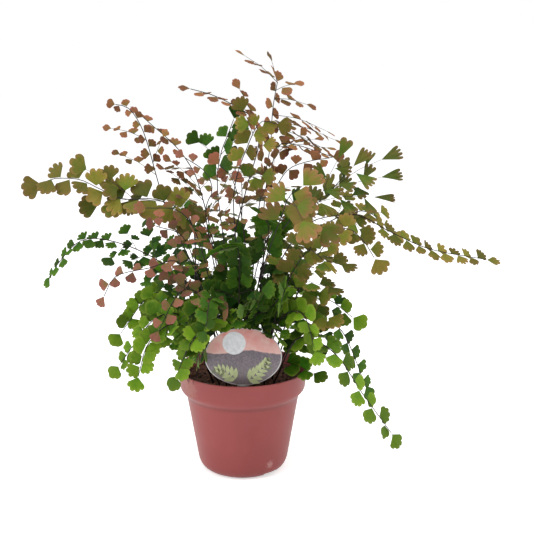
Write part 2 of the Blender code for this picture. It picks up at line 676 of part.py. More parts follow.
def plan_fronds():
    """Stems first, then twigs, then leaflets, so that none grows through another."""
    room = Room(ROOM_BETWEEN)
    fill_holder(room)
    stems = []
    for frond in FRONDS:
        root, line = stem_line(frond)
        stem = Twig((frond.name, "stem"), line, Vector(frond.facing), (1 + frond.blade) / 2 * line.length,
                    Vector((0, 0)), 0.0, MIDRIB_HALF_WIDTH)
        room.add(stem.key, line_samples(line, 0))
        stems.append((frond, root, stem, random.Random(frond.name + " leaflets"), Room(FLAT_ROOM)))
    for frond, root, stem, rng, flat_room in stems:
        flat_room.add(stem.key, [stem.flat(run).to_3d() for run in range(0, int(stem.line.length), 2)])
        add_leaflet(frond, stem, stem.line.length, 0, 0.85 * frond.leaf, 0.0, rng, room, flat_room)
    twigs_of = {frond.name: plan_twigs(frond, stem, room) for frond, root, stem, rng, flat_room in stems}
    for frond, root, stem, rng, flat_room in stems:
        for run, side, twig in twigs_of[frond.name]:
            steps = max(1, int(twig.reach / 2))
            flat_room.add(twig.key, [twig.flat(2.0 * step).to_3d() for step in range(2, steps)])
        for run, side, twig in twigs_of[frond.name]:
            if leaf_twig(frond, twig, rng, room, flat_room):
                stem.shoots.append(Shoot(run, side, twig))
    return [(frond, root, stem) for frond, root, stem, rng, flat_room in stems]


def build_stem(frond, root, stem, blade_start, collection):
    """The bare lower stem, from the root's end to just past the start of the blade."""
    curve = bpy.data.curves.new(frond.name, "CURVE")
    curve.dimensions = "3D"
    curve.bevel_depth = STEM_RADIUS * MM
    curve.bevel_resolution = 0
    curve.use_fill_caps = True
    points = [root] + [stem.line.place(blade_start * piece / STEM_PIECES) for piece in range(STEM_PIECES + 1)]
    spline = curve.splines.new("POLY")
    spline.points.add(len(points) - 1)
    for point, place in zip(spline.points, points):
        point.co = (*(place * MM), 1)
    obj = mesh_object(frond.name + "_stem", curve, Matrix.Identity(4), collection)
    hide_cutter(obj)
    return obj


def build_frond(frond, root, stem, collection, surface, soil_cutters):
    blade_start = min(shoot.run for shoot in stem.shoots if shoot.side) - 2 * NECK
    stem_part = new_collection(frond.name + "_stem")
    build_stem(frond, root, stem, blade_start, stem_part)

    base = blade_start - STEM_OVERLAP
    outline = [stem.point(base, stem.half_width)] + stem.around(1) + [stem.point(base, -stem.half_width)]
    bm = bmesh.new()
    verts = [bm.verts.new((*flat, 0)) for flat, grown in outline]
    edges = [bm.edges.new((start, end)) for start, end in zip(verts, verts[1:] + verts[:1])]
    bmesh.ops.triangle_fill(bm, use_beauty=True, use_dissolve=False, edges=edges)
    bmesh.ops.recalc_face_normals(bm, faces=bm.faces)
    for vert, (flat, grown) in zip(verts, outline):
        vert.co = grown * MM
    obj = add_object("frond_" + frond.name, mesh_from(frond.name, bm), collection, surface)
    solidify = obj.modifiers.new("Solidify", "SOLIDIFY")
    solidify.thickness = BLADE_THICKNESS * MM
    solidify.offset = 0
    add_boolean(obj, "UNION", stem_part, "MANIFOLD")

    foot = stem.line.place(0)
    lead = (foot - root).normalized()
    depth = (foot - root).length + 6
    bm = bmesh.new()
    bmesh.ops.create_cone(bm, cap_ends=True, segments=5, radius1=HOLE_RADIUS * MM,
                          radius2=HOLE_RADIUS * MM, depth=depth * MM)
    hole = add_object(frond.name + "_hole", mesh_from("hole", bm), soil_cutters)
    centre = root + lead * (depth / 2 - CLEARANCE)
    hole.matrix_world = Matrix.Translation(centre * MM) @ lead.to_track_quat("Z", "Y").to_matrix().to_4x4()
    hide_cutter(hole)
    return obj


def build():
    clear_scene()
    fern = new_collection("potted_fern")
    soil_cutters = new_collection("soil_cutters")
    build_pot(fern)
    soil = build_soil(fern)
    build_label(fern, soil_cutters)
    surfaces = {tone: material("frond_" + tone, colour, 0.55) for tone, colour in COLOURS.items()}
    for frond, root, stem in plan_fronds():
        build_frond(frond, root, stem, fern, surfaces[frond.tone], soil_cutters)
    add_boolean(soil, "DIFFERENCE", soil_cutters)


build()
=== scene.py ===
import math
import random
from collections import namedtuple
from itertools import product

import bmesh
import bpy
from mathutils import Matrix, Vector, noise


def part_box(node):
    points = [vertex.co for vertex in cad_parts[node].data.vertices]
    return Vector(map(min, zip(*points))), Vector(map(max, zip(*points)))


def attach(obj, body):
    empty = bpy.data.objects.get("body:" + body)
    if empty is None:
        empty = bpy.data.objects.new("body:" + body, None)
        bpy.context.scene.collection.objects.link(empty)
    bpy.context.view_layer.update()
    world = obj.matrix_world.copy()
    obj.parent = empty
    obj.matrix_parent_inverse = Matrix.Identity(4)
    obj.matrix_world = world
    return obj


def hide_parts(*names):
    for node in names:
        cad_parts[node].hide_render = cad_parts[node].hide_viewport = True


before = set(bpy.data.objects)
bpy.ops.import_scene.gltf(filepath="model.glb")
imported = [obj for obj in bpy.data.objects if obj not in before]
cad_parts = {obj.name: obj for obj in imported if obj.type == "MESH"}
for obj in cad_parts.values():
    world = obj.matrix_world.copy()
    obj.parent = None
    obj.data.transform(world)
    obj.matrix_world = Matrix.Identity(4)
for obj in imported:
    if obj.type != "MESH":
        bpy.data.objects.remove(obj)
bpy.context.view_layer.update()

# ---- Nursery pot ------------------------------------------------------------------------------
# A thin-walled cup moulded in satin terracotta-red plastic, with a wide band under its rim and
# three drain notches in the edge of its base. Handling has scuffed it low down, and a little
# peat has dried on its rim.
MM = 0.001
POT_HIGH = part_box("pot")[1]
RIM_RADIUS = POT_HIGH.x / MM
POT_HEIGHT = POT_HIGH.z / MM
BAND_RADIUS = 57.6
BAND_HEIGHT = 19.0
BODY_RADIUS = 52.1
FOOT_RADIUS = 39.7
FOOT_ROUNDING = 12.0
BAND_STEP = 6.0
WALL = 1.3
FLOOR = 1.6
FOOT_RING = 13.0
FOOT_LIFT = 0.7
POT_STEPS = 144
ARC_STEPS = 7
NOTCHES = 3
NOTCH_SIZE = (18.0, 17.5, 8.6)
FIRST_NOTCH = math.radians(-45)
POT_RED = (0.300, 0.059, 0.056, 1)
POT_SHADE = (0.255, 0.048, 0.044, 1)
# Painted shade: the dark red laid along the crease under the band.
POT_CREASE_SHADE = (0.12, 0.024, 0.022, 1)
POT_SCUFF = (0.48, 0.27, 0.25, 1)
POT_DUST = (0.36, 0.17, 0.13, 1)


def rounded(corners):
    """Points of a profile of (radius, height, rounding) corners, each rounded by an arc."""
    points = []
    for index, (radius, height, rounding) in enumerate(corners):
        corner = Vector((radius, height))
        if rounding == 0:
            points.append(corner)
            continue
        before = (Vector(corners[index - 1][:2]) - corner).normalized()
        after = (Vector(corners[index + 1][:2]) - corner).normalized()
        for step in range(ARC_STEPS + 1):
            share = step / ARC_STEPS
            points.append(corner + rounding * ((1 - share) ** 2 * before + share ** 2 * after))
    return points


def turned_mesh(name, profile, steps):
    """A closed skin: (radius, height) points, from the axis back to the axis, turned round Z."""
    places, faces, rings = [], [], []
    for radius, height in profile:
        if radius < 0.001:
            rings.append([len(places)] * steps)
            places.append((0, 0, height * MM))
            continue
        rings.append(list(range(len(places), len(places) + steps)))
        for step in range(steps):
            angle = math.tau * step / steps
            places.append((radius * math.cos(angle) * MM, radius * math.sin(angle) * MM, height * MM))
    for lower, upper in zip(rings, rings[1:]):
        for step in range(steps):
            after = (step + 1) % steps
            corners = (lower[step], lower[after], upper[after], upper[step])
            faces.append(list(dict.fromkeys(corners)))
    mesh = bpy.data.meshes.new(name)
    mesh.from_pydata(places, [], faces)
    return mesh


def mesh_of(name, shape):
    """A mesh of a shape that was worked in bmesh."""
    mesh = bpy.data.meshes.new(name)
    shape.to_mesh(mesh)
    shape.free()
    return mesh


def put_in_scene(name, data):
    """A new object that holds a mesh, a curve, a lamp or the camera."""
    obj = bpy.data.objects.new(name, data)
    bpy.context.scene.collection.objects.link(obj)
    return obj


def new_piece(name, mesh, replaced, materials, sharp_angle):
    """A finished piece that moves with the whole object."""
    obj = put_in_scene(name, mesh)
    for material in materials:
        mesh.materials.append(material)
    mesh.shade_smooth()
    mesh.set_sharp_from_angle(angle=math.radians(sharp_angle))
    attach(obj, "root")
    if replaced:
        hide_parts(replaced)
    return obj


def add_node(tree, kind, values=(), **settings):
    """A node with its settings, and its inputs linked or set by name or number."""
    node = tree.nodes.new(kind)
    for setting, value in settings.items():
        setattr(node, setting, value)
    for key, value in dict(values).items():
        if isinstance(value, bpy.types.NodeSocket):
            tree.links.new(value, node.inputs[key])
        else:
            node.inputs[key].default_value = value
    return node


def maths(tree, operation, first, second=0.5, third=0.0, clamp=False):
    values = {0: first, 1: second, 2: third}
    return add_node(tree, "ShaderNodeMath", values, operation=operation, use_clamp=clamp).outputs[0]


def mixed(tree, share, first, second):
    """Two colours mixed by a share."""
    return add_node(tree, "ShaderNodeMix", {0: share, 6: first, 7: second}, data_type="RGBA").outputs[2]


def ramped(tree, value, low, high, to_low=0.0, to_high=1.0):
    """A value carried smoothly from one range to another."""
    values = {"Value": value, "From Min": low, "From Max": high, "To Min": to_low, "To Max": to_high}
    return add_node(tree, "ShaderNodeMapRange", values, interpolation_type="SMOOTHSTEP").outputs[0]


def noisy(tree, vector, scale, detail=3.0, roughness=0.5):
    values = {"Vector": vector, "Scale": scale, "Detail": detail, "Roughness": roughness}
    return add_node(tree, "ShaderNodeTexNoise", values).outputs["Fac"]


def new_effect(name, inputs, outputs):
    """An effect shared by several finishes, with named inputs and outputs."""
    tree = bpy.data.node_groups.new(name, "ShaderNodeTree")
    for kind, sockets in (("INPUT", inputs), ("OUTPUT", outputs)):
        for socket, value in sockets.items():
            sort = "NodeSocketFloat" if isinstance(value, float) else "NodeSocketColor"
            sort = "NodeSocketVector" if value is None else sort
            made = tree.interface.new_socket(name=socket, in_out=kind, socket_type=sort)
            if value is not None:
                made.default_value = value
    return tree, tree.nodes.new("NodeGroupInput").outputs, tree.nodes.new("NodeGroupOutput").inputs


def use_effect(tree, effect, **values):
    node = tree.nodes.new("ShaderNodeGroup")
    node.node_tree = effect
    for key, value in values.items():
        key = key.replace("_", " ")
        if isinstance(value, bpy.types.NodeSocket):
            tree.links.new(value, node.inputs[key])
        else:
            node.inputs[key].default_value = value
    return node.outputs


def new_finish(name, **values):
    """A material with its shader, its nodes' tree and the object's own coordinates."""
    material = bpy.data.materials.new(name)
    material.use_nodes = True
    tree = material.node_tree
    shader = tree.nodes["Principled BSDF"]
    for key, value in values.items():
        shader.inputs[key.replace("_", " ")].default_value = value
    place = tree.nodes.new("ShaderNodeTexCoord").outputs["Object"]
    return material, tree, shader, place


def paint(tree, shader, colour, roughness=None):
    """The finish's colour, and its roughness where that varies, led to its shader."""
    tree.links.new(colour, shader.inputs["Base Color"])
    if roughness is not None:
        tree.links.new(roughness, shader.inputs["Roughness"])


def bumped(tree, shader, height, strength, distance):
    bump = add_node(tree, "ShaderNodeBump", {"Height": height, "Strength": strength, "Distance": distance})
    tree.links.new(bump.outputs[0], shader.inputs["Normal"])


# Grain: fine unevenness of a surface, as a height and a small change of roughness.
grain, given, made = new_effect("grain", {"Vector": None, "Scale": 500.0, "Roughness": 0.5, "Spread": 0.1},
                                {"Height": 0.0, "Roughness": 0.5})
fine = noisy(grain, given["Vector"], given["Scale"], 4.0, 0.6)
broad = noisy(grain, given["Vector"], maths(grain, "MULTIPLY", given["Scale"], 0.08), 3.0)
height = maths(grain, "ADD", fine, maths(grain, "MULTIPLY", broad, 1.5))
swing = maths(grain, "SUBTRACT", maths(grain, "ADD", fine, broad), 1.0)
grain.links.new(height, made["Height"])
grain.links.new(maths(grain, "MULTIPLY_ADD", swing, given["Spread"], given["Roughness"], True),
                made["Roughness"])

# Mottle: patches of a second colour in a first one.
mottle, given, made = new_effect("mottle", {"Vector": None, "Scale": 60.0, "First": (1, 1, 1, 1),
                                            "Second": (0, 0, 0, 1), "Amount": 0.5}, {"Colour": (1, 1, 1, 1)})
patches = ramped(mottle, noisy(mottle, given["Vector"], given["Scale"], 5.0, 0.6), 0.35, 0.68)
share = maths(mottle, "MULTIPLY", patches, given["Amount"], 0.0, True)
mottle.links.new(mixed(mottle, share, given["First"], given["Second"]), made["Colour"])


def mottled(tree, place, scale, first, second, amount):
    """A colour with patches of a second one, by the mottle."""
    return use_effect(tree, mottle, Vector=place, Scale=scale, First=first, Second=second,
                      Amount=amount)["Colour"]


# Spot: a soft-edged mark round one place, broken up by noise.
spot, given, made = new_effect("spot", {"Vector": None, "Place": None, "Size": 0.01, "Break up": 700.0},
                               {"Mask": 0.0})
apart = add_node(spot, "ShaderNodeVectorMath", {0: given["Vector"], 1: given["Place"]}, operation="DISTANCE")
close = maths(spot, "DIVIDE", apart.outputs["Value"], given["Size"])
crumbled = noisy(spot, given["Vector"], given["Break up"], 4.0, 0.7)
inside = maths(spot, "SUBTRACT", 1.0, close, 0.0, True)
spot.links.new(ramped(spot, maths(spot, "ADD", maths(spot, "MULTIPLY", inside, 0.6), crumbled), 0.62, 0.86),
               made["Mask"])

pot_plastic, tree, shader, place = new_finish("pot_plastic", Sheen_Weight=0.16, Sheen_Roughness=0.4,
                                             Specular_IOR_Level=0.35)
body = mottled(tree, place, 16.0, POT_RED, POT_SHADE, 0.8)
separated = add_node(tree, "ShaderNodeSeparateXYZ", {0: place}).outputs
scuffs = use_effect(tree, spot, Vector=place, Place=(0.0240, -0.0320, 0.0145), Size=0.0062,
                    Break_up=800.0)["Mask"]
low = ramped(tree, separated["Z"], 0.016, 0.001)
rubbed = ramped(tree, maths(tree, "MULTIPLY", low, noisy(tree, place, 420.0, 4.0, 0.7)), 0.40, 0.62)
worn = maths(tree, "MAXIMUM", maths(tree, "MULTIPLY", scuffs, 0.6), maths(tree, "MULTIPLY", rubbed, 0.22))
dusted = use_effect(tree, spot, Vector=place, Place=(-0.047, -0.035, 0.088), Size=0.016,
                    Break_up=620.0)["Mask"]
body = mixed(tree, worn, body, POT_SCUFF)
body = mixed(tree, maths(tree, "MULTIPLY", dusted, 0.42), body, POT_DUST)
band_foot = POT_HEIGHT - BAND_HEIGHT
# Painted shade: the base colour darkens along a soft line under the band's step, where shade falls in the
# crease.
crease_shade_reach = maths(tree, "SUBTRACT", separated["Z"], (band_foot - BAND_STEP + 0.5) * MM)
crease_shade_reach = maths(tree, "ABSOLUTE", crease_shade_reach)
body = mixed(tree, ramped(tree, crease_shade_reach, 0.0035, 0.0, 0.0, 0.4), body, POT_CREASE_SHADE)
skin_grain = use_effect(tree, grain, Vector=place, Scale=900.0, Roughness=0.40, Spread=0.12)
paint(tree, shader, body, maths(tree, "MULTIPLY_ADD", worn, 0.35, skin_grain["Roughness"], True))
bumped(tree, shader, skin_grain["Height"], 0.10, 0.0004)

outside = rounded([
    (0, FOOT_LIFT, 0),
    (FOOT_RADIUS - FOOT_RING - 1.0, FOOT_LIFT, 0.4),
    (FOOT_RADIUS - FOOT_RING, 0, 0.4),
    (FOOT_RADIUS, 0, FOOT_ROUNDING),
    (BODY_RADIUS, band_foot - BAND_STEP, 3.2),
    (BAND_RADIUS, band_foot, 2.4),
    (RIM_RADIUS, POT_HEIGHT, 0.9),
    (RIM_RADIUS - 1.2, POT_HEIGHT, 0),
])
INSIDE = rounded([
    (RIM_RADIUS - 1.6, POT_HEIGHT - 0.8, 0),
    (BAND_RADIUS - WALL, band_foot, 1.2),
    (BODY_RADIUS - WALL, band_foot - BAND_STEP, 1.2),
    (FOOT_RADIUS - 1.6, FLOOR, FOOT_ROUNDING - 1.0),
    (0, FLOOR, 0),
])
pot_skin = bmesh.new()
pot_skin.from_mesh(turned_mesh("pot", outside + INSIDE, POT_STEPS))
bmesh.ops.recalc_face_normals(pot_skin, faces=pot_skin.faces)
pot_mesh = mesh_of("nursery_pot", pot_skin)
notch_skin = bmesh.new()
for index in range(NOTCHES):
    angle = FIRST_NOTCH + math.tau * index / NOTCHES
    turn = Matrix.Rotation(angle, 4, "Z") @ Matrix.Translation((FOOT_RADIUS * MM, 0, 0))
    size = Matrix.Diagonal((*(Vector(NOTCH_SIZE) * MM), 1))
    bmesh.ops.create_cube(notch_skin, size=1, matrix=turn @ size)
notch_mesh = mesh_of("notches", notch_skin)


def cut_away(name, mesh, tool):
    """The mesh with a tool's shape cut out of it."""
    blank, cutter = put_in_scene(name, mesh), put_in_scene(name + "_cutter", tool)
    cut = blank.modifiers.new("Cut", "BOOLEAN")
    cut.operation = "DIFFERENCE"
    cut.object = cutter
    cut.solver = "EXACT"
    bpy.context.view_layer.update()
    done = bpy.data.meshes.new_from_object(blank.evaluated_get(bpy.context.evaluated_depsgraph_get()))
    bpy.data.objects.remove(blank, do_unlink=True)
    bpy.data.objects.remove(cutter, do_unlink=True)
    return done


pot_mesh = cut_away("pot_blank", pot_mesh, notch_mesh)
new_piece("nursery_pot", pot_mesh, "pot", [pot_plastic], 35)

# ---- Soil -------------------------------------------------------------------------------------
# A plug of moist red-brown peat that fills the pot to just under its rim. Its top is uneven, with
# crumbs, a few grains of grit and dry root fibres lying on it, some of them over the rim.
SOIL_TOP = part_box("soil")[1].z / MM
SOIL_STEPS = 150
SOIL_RINGS = 40
SOIL_WAVES = ((1.3, 0.05, 3.7), (0.9, 0.22, 8.1), (0.45, 0.8, 1.3))
CRUMBS = 620
CRUMB_SIZE = 0.45
CRUMB_SPREAD = 1.35
GRIT_SHARE = 0.045
FIBRES = 150
FIBRE_STEPS = 6
FIBRE_LENGTHS = (4, 15)
FIBRE_RADII = (0.12, 0.3)
RIM_FIBRE_RADII = (0.26, 0.26, 0.24, 0.22, 0.2, 0.18, 0.12)
RIM_FIBRES = ((-2.53, 9.0, 3.0), (-2.44, 5.5, -3.5), (-2.36, 11.0, -1.0), (-2.62, 4.0, 1.0))
UP = Vector((0, 0, 1))
PEAT = (0.125, 0.052, 0.033, 1)
PEAT_DARK = (0.024, 0.011, 0.008, 1)
PEAT_RED = (0.215, 0.085, 0.050, 1)
GRIT = (0.30, 0.23, 0.17, 1)


def soil_height(x, y):
    """The uneven top of the peat, lower in the middle and by the wall."""
    height = SOIL_TOP - 1.6
    for size, fineness, seed in SOIL_WAVES:
        height += size * noise.noise(Vector((x * fineness, y * fineness, seed)))
    return height - (math.hypot(x, y) / BAND_RADIUS) ** 6


soil_inside = [(radius - 0.3, height) for radius, height in INSIDE if height < SOIL_TOP and radius > 0.001]
soil_inside.insert(0, (BAND_RADIUS - WALL + 0.6, SOIL_TOP - 4.0))
top_radius = BAND_RADIUS - WALL + 0.9
top_rings = [(top_radius * ring / SOIL_RINGS, SOIL_TOP) for ring in range(SOIL_RINGS + 1)]
soil_mesh = turned_mesh("soil", top_rings + soil_inside + [(0, soil_inside[-1][1])], SOIL_STEPS)
for vert in soil_mesh.vertices:
    if vert.co.z > (SOIL_TOP - 0.1) * MM:
        vert.co.z = soil_height(vert.co.x / MM, vert.co.y / MM) * MM


class Skin:
    """A growing mesh: its points and faces, and values that its paint reads at each point."""

    def __init__(self):
        self.places = []
        self.faces = []
        self.parts = []
        self.marks = {}

    def add(self, places, faces, part=0, **marks):
        """Add points and faces. A mark is one value for them all, or one for each."""
        start = len(self.places)
        self.places += places
        self.faces += [[start + corner for corner in face] for face in faces]
        self.parts += [part] * len(faces)
        for name, value in marks.items():
            values = self.marks.setdefault(name, {})
            for index in range(len(places)):
                values[start + index] = value[index] if isinstance(value, list) else value

    def mesh(self, name):
        made = bpy.data.meshes.new(name)
        made.from_pydata([place * MM for place in self.places], [], self.faces)
        made.polygons.foreach_set("material_index", self.parts)
        for mark, values in self.marks.items():
            attribute = made.attributes.new(mark, "FLOAT", "POINT")
            kept = [values.get(index, 0.0) for index in range(len(self.places))]
            attribute.data.foreach_set("value", kept)
        return made


def add_tube(skin, points, radii, sides=6, part=0, **marks):
    """A round stalk along points, closed at both ends."""
    places, faces = [], []
    across = None
    for index, point in enumerate(points):
        along = (points[min(index + 1, len(points) - 1)] - points[max(index - 1, 0)]).normalized()
        across = along.orthogonal() if across is None else across
        across = (across - across.dot(along) * along).normalized()
        up = along.cross(across)
        for side in range(sides):
            angle = math.tau * side / sides
            places.append(point + radii[index] * (math.cos(angle) * across + math.sin(angle) * up))
    for ring in range(len(points) - 1):
        for side in range(sides):
            start, after = ring * sides + side, ring * sides + (side + 1) % sides
            faces.append([start, after, after + sides, start + sides])
    faces.append(list(range(sides))[::-1])
    faces.append(list(range(len(places) - sides, len(places))))
    skin.add(places, faces, part, **marks)


def add_crumb(skin, place, size, rng, **marks):
    """A lump of peat or grit, of uneven shape."""
    lump = bmesh.new()
    bmesh.ops.create_icosphere(lump, subdivisions=2, radius=1)
    stretch = Vector([rng.uniform(0.65, 1.2) for axis in range(3)])
    turn = Matrix.Rotation(rng.uniform(0, math.tau), 3, Vector((rng.random(), rng.random(), 1)))
    seed = Vector((rng.uniform(0, 90), rng.uniform(0, 90), 0))
    places = []
    for vert in lump.verts:
        swelling = 1 + 0.5 * noise.noise(vert.co * 1.7 + seed)
        places.append(place + turn @ (vert.co * swelling * size * stretch))
    faces = [[vert.index for vert in face.verts] for face in lump.faces]
    lump.free()
    skin.add(places, faces, **marks)


def soil_spot(rng, reach):
    """A random place on the soil, more often towards the pot's wall."""
    radius = reach * rng.random() ** 0.42
    angle = rng.uniform(0, math.tau)
    x, y = radius * math.cos(angle), radius * math.sin(angle)
    return Vector((x, y, soil_height(x, y)))


rng = random.Random("peat crumbs")
crumbs = Skin()
for index in range(CRUMBS):
    size = CRUMB_SIZE + CRUMB_SPREAD * rng.random() ** 3
    spot_on_soil = soil_spot(rng, top_radius - size - 0.6)
    pale = rng.random() < GRIT_SHARE
    add_crumb(crumbs, spot_on_soil + Vector((0, 0, 0.25 * size)), size, rng,
              shade=rng.uniform(0.8, 1.0) if pale else rng.uniform(0, 0.5))

rng = random.Random("root fibres")
fibres = Skin()
for index in range(FIBRES):
    start = soil_spot(rng, top_radius - 3)
    angle = rng.uniform(0, math.tau)
    length = rng.uniform(*FIBRE_LENGTHS)
    points = []
    bend = rng.uniform(-0.5, 0.5)
    for step in range(FIBRE_STEPS + 1):
        share = step / FIBRE_STEPS
        x = start.x + length * share * math.cos(angle + bend * share)
        y = start.y + length * share * math.sin(angle + bend * share)
        if math.hypot(x, y) > top_radius - 1:
            break
        points.append(Vector((x, y, soil_height(x, y) + 0.5 + rng.uniform(-0.1, 0.3))))
    if len(points) > 2:
        thick = rng.uniform(*FIBRE_RADII)
        add_tube(fibres, points, [thick * (1 - 0.09 * step) for step in range(len(points))], 5,
                 shade=rng.uniform(0, 0.8))
for angle, drop, lean in RIM_FIBRES:
    out = Vector((math.cos(angle), math.sin(angle), 0))
    along = Vector((-out.y, out.x, 0))
    lip = POT_HEIGHT + 0.3
    points = [out * 52 + UP * (SOIL_TOP - 1), out * 56 + UP * (SOIL_TOP + 4), out * 58.6 + UP * lip,
              out * 59.9 + UP * lip + along * 0.2 * lean,
              out * 60.4 + UP * (lip - 1.2) + along * 0.35 * lean,
              out * (60.2 - 0.15 * drop) + UP * (lip - drop * 0.6) + along * 0.8 * lean,
              out * (60.2 - 0.15 * drop) + UP * (lip - drop) + along * lean]
    add_tube(fibres, points, RIM_FIBRE_RADII, 5, shade=rng.uniform(0.2, 0.9))


def kept_value(tree, name):
    """A value that the mesh keeps at each of its points."""
    return add_node(tree, "ShaderNodeAttribute", attribute_name=name).outputs["Fac"]


def grained(tree, shader, place, scale, strength, distance):
    """A surface made uneven by its grain alone."""
    height = use_effect(tree, grain, Vector=place, Scale=scale)["Height"]
    bumped(tree, shader, height, strength, distance)


peat, tree, shader, place = new_finish("peat", Roughness=0.95)
earth = mottled(tree, place, 420.0, PEAT, PEAT_DARK, 0.95)
paint(tree, shader, mottled(tree, place, 150.0, earth, PEAT_RED, 0.5))
grained(tree, shader, place, 700.0, 0.8, 0.0012)

crumb_peat, tree, shader, place = new_finish("crumb_peat", Roughness=0.92)
shade = kept_value(tree, "shade")
lump = mixed(tree, ramped(tree, shade, 0.0, 0.5), PEAT_DARK, PEAT_RED)
lump = mixed(tree, ramped(tree, shade, 0.7, 0.85), lump, GRIT)
paint(tree, shader, mottled(tree, place, 900.0, lump, PEAT_DARK, 0.5))
grained(tree, shader, place, 1100.0, 0.6, 0.0006)

root_fibre, tree, shader, place = new_finish("root_fibre", Roughness=0.8)
shade = kept_value(tree, "shade")
strand = mixed(tree, shade, (0.035, 0.015, 0.010, 1), (0.20, 0.11, 0.065, 1))
paint(tree, shader, mottled(tree, place, 500.0, strand, PEAT_DARK, 0.5))

new_piece("peat_plug", soil_mesh, "soil", [peat], 80)
new_piece("peat_crumbs", crumbs.mesh("peat_crumbs"), None, [crumb_peat], 80)
new_piece("root_fibres", fibres.mesh("root_fibres"), None, [root_fibre], 80)

# ---- Plant label ------------------------------------------------------------------------------
# An oval head on a pointed stake, die-cut from one printed plastic card. It is pushed into the
# soil at the front and leans back a little. The print is a plain design of the builder's own.
LABEL_SIZE = (68.3, 51.0)
LABEL_CENTRE = (1.5, -41.5, 119.0)
LABEL_LEAN = 8.0
LABEL_THICKNESS = 0.8
STAKE_WIDTH = 11.0
STAKE_END = 46.0
CARD_EDGE = 0.16
OVAL_STEPS = 96
PRINT_LIFT = 0.06
CARD_BARE = (0.68, 0.65, 0.66, 1)
label_place = (Matrix.Translation(Vector(LABEL_CENTRE) * MM)
               @ Matrix.Rotation(math.radians(90 - LABEL_LEAN), 4, "X"))


def card(name, outline, thickness, rim=0.0):
    """A flat outline of (x, y) points made into a card, with its edges eased."""
    curve = bpy.data.curves.new(name, "CURVE")
    curve.dimensions = "2D"
    curve.fill_mode = "BOTH"
    curve.extrude = (thickness / 2 - rim) * MM
    curve.bevel_depth = rim * MM
    curve.offset = -rim * MM
    curve.bevel_resolution = 2
    spline = curve.splines.new("POLY")
    spline.points.add(len(outline) - 1)
    for point, (x, y) in zip(spline.points, outline):
        point.co = (x * MM, y * MM, 0, 1)
    spline.use_cyclic_u = True
    drawn = put_in_scene(name, curve)
    bpy.context.view_layer.update()
    skin = bmesh.new()
    skin.from_mesh(drawn.evaluated_get(bpy.context.evaluated_depsgraph_get()).to_mesh())
    bmesh.ops.remove_doubles(skin, verts=skin.verts, dist=0.000001)
    bmesh.ops.recalc_face_normals(skin, faces=skin.faces)
    bpy.data.objects.remove(drawn, do_unlink=True)
    return mesh_of(name, skin)


half_width, half_height = LABEL_SIZE[0] / 2, LABEL_SIZE[1] / 2
half_stake = STAKE_WIDTH / 2
gap = math.asin(half_stake / half_width)
label_outline = []
for step in range(OVAL_STEPS + 1):
    angle = -math.pi / 2 + gap + (math.tau - 2 * gap) * step / OVAL_STEPS
    label_outline.append((half_width * math.cos(angle), half_height * math.sin(angle)))
point_foot = -STAKE_END + half_stake
label_outline += [(-half_stake, point_foot), (0, -STAKE_END), (half_stake, point_foot)]

card_print, tree, shader, place = new_finish("card_print", Roughness=0.32, Coat_Weight=0.25,
                                             Coat_Roughness=0.2)
flat = add_node(tree, "ShaderNodeSeparateXYZ", {0: place}).outputs
wave = maths(tree, "SINE", maths(tree, "MULTIPLY_ADD", flat["X"], 120.0, 0.9))
ripple = noisy(tree, place, 130.0, 4.0, 0.6)
edge = maths(tree, "MULTIPLY_ADD", wave, 0.0016, maths(tree, "MULTIPLY", ripple, 0.004))
above = maths(tree, "SUBTRACT", flat["Y"], edge)
upper = mixed(tree, ramped(tree, flat["Y"], 0.0, 0.022), (0.88, 0.48, 0.44, 1), (0.84, 0.32, 0.29, 1))
upper = mottled(tree, place, 110.0, upper, (0.92, 0.68, 0.63, 1), 0.6)
lower = ramped(tree, flat["Y"], -0.022, 0.002)
lower = mixed(tree, lower, (0.215, 0.180, 0.190, 1), (0.155, 0.127, 0.155, 1))
lower = mottled(tree, place, 520.0, lower, (0.29, 0.24, 0.27, 1), 0.7)
picture = mixed(tree, ramped(tree, above, 0.0014, 0.0024), lower, upper)
to_edge = (2 / (LABEL_SIZE[0] * MM), 2 / (LABEL_SIZE[1] * MM), 0)
outer = add_node(tree, "ShaderNodeVectorMath", {0: place, 1: to_edge}, operation="MULTIPLY").outputs[0]
outer = add_node(tree, "ShaderNodeVectorMath", {0: outer}, operation="LENGTH").outputs["Value"]
white_edge = ramped(tree, outer, 0.968, 0.98)
back = maths(tree, "LESS_THAN", flat["Z"], 0.0)
picture = mixed(tree, maths(tree, "MAXIMUM", white_edge, back), picture, CARD_BARE)
soiled = ramped(tree, maths(tree, "MULTIPLY_ADD", ripple, 0.006, flat["Y"]), -0.0205, -0.0245)
paint(tree, shader, mixed(tree, soiled, picture, PEAT_DARK))
grained(tree, shader, place, 1400.0, 0.04, 0.0002)


def place_on_label(name, mesh, finish, replaced=None):
    obj = new_piece(name, mesh, replaced, [finish], 30)
    obj.matrix_world = label_place
    return obj


label_card = card("plant_label", label_outline, LABEL_THICKNESS, CARD_EDGE)
place_on_label("plant_label", label_card, card_print, "label")


def leaf_outline(foot, tip, width):
    """A pointed leaf between two points of the print."""
    foot, tip = Vector(foot), Vector(tip)
    along = tip - foot
    across = Vector((-along.y, along.x)).normalized()
    points = []
    for side, shares in ((1, range(0, 9)), (-1, range(8, 0, -1))):
        for share in (step / 8 for step in shares):
            swell = width / 2 * math.sin(math.pi * share ** 0.8) ** 0.9
            points.append(foot + share * along + side * swell * across)
    return points[:1] + [point for before, point in zip(points, points[1:])
                         if (point - before).length > 0.05]


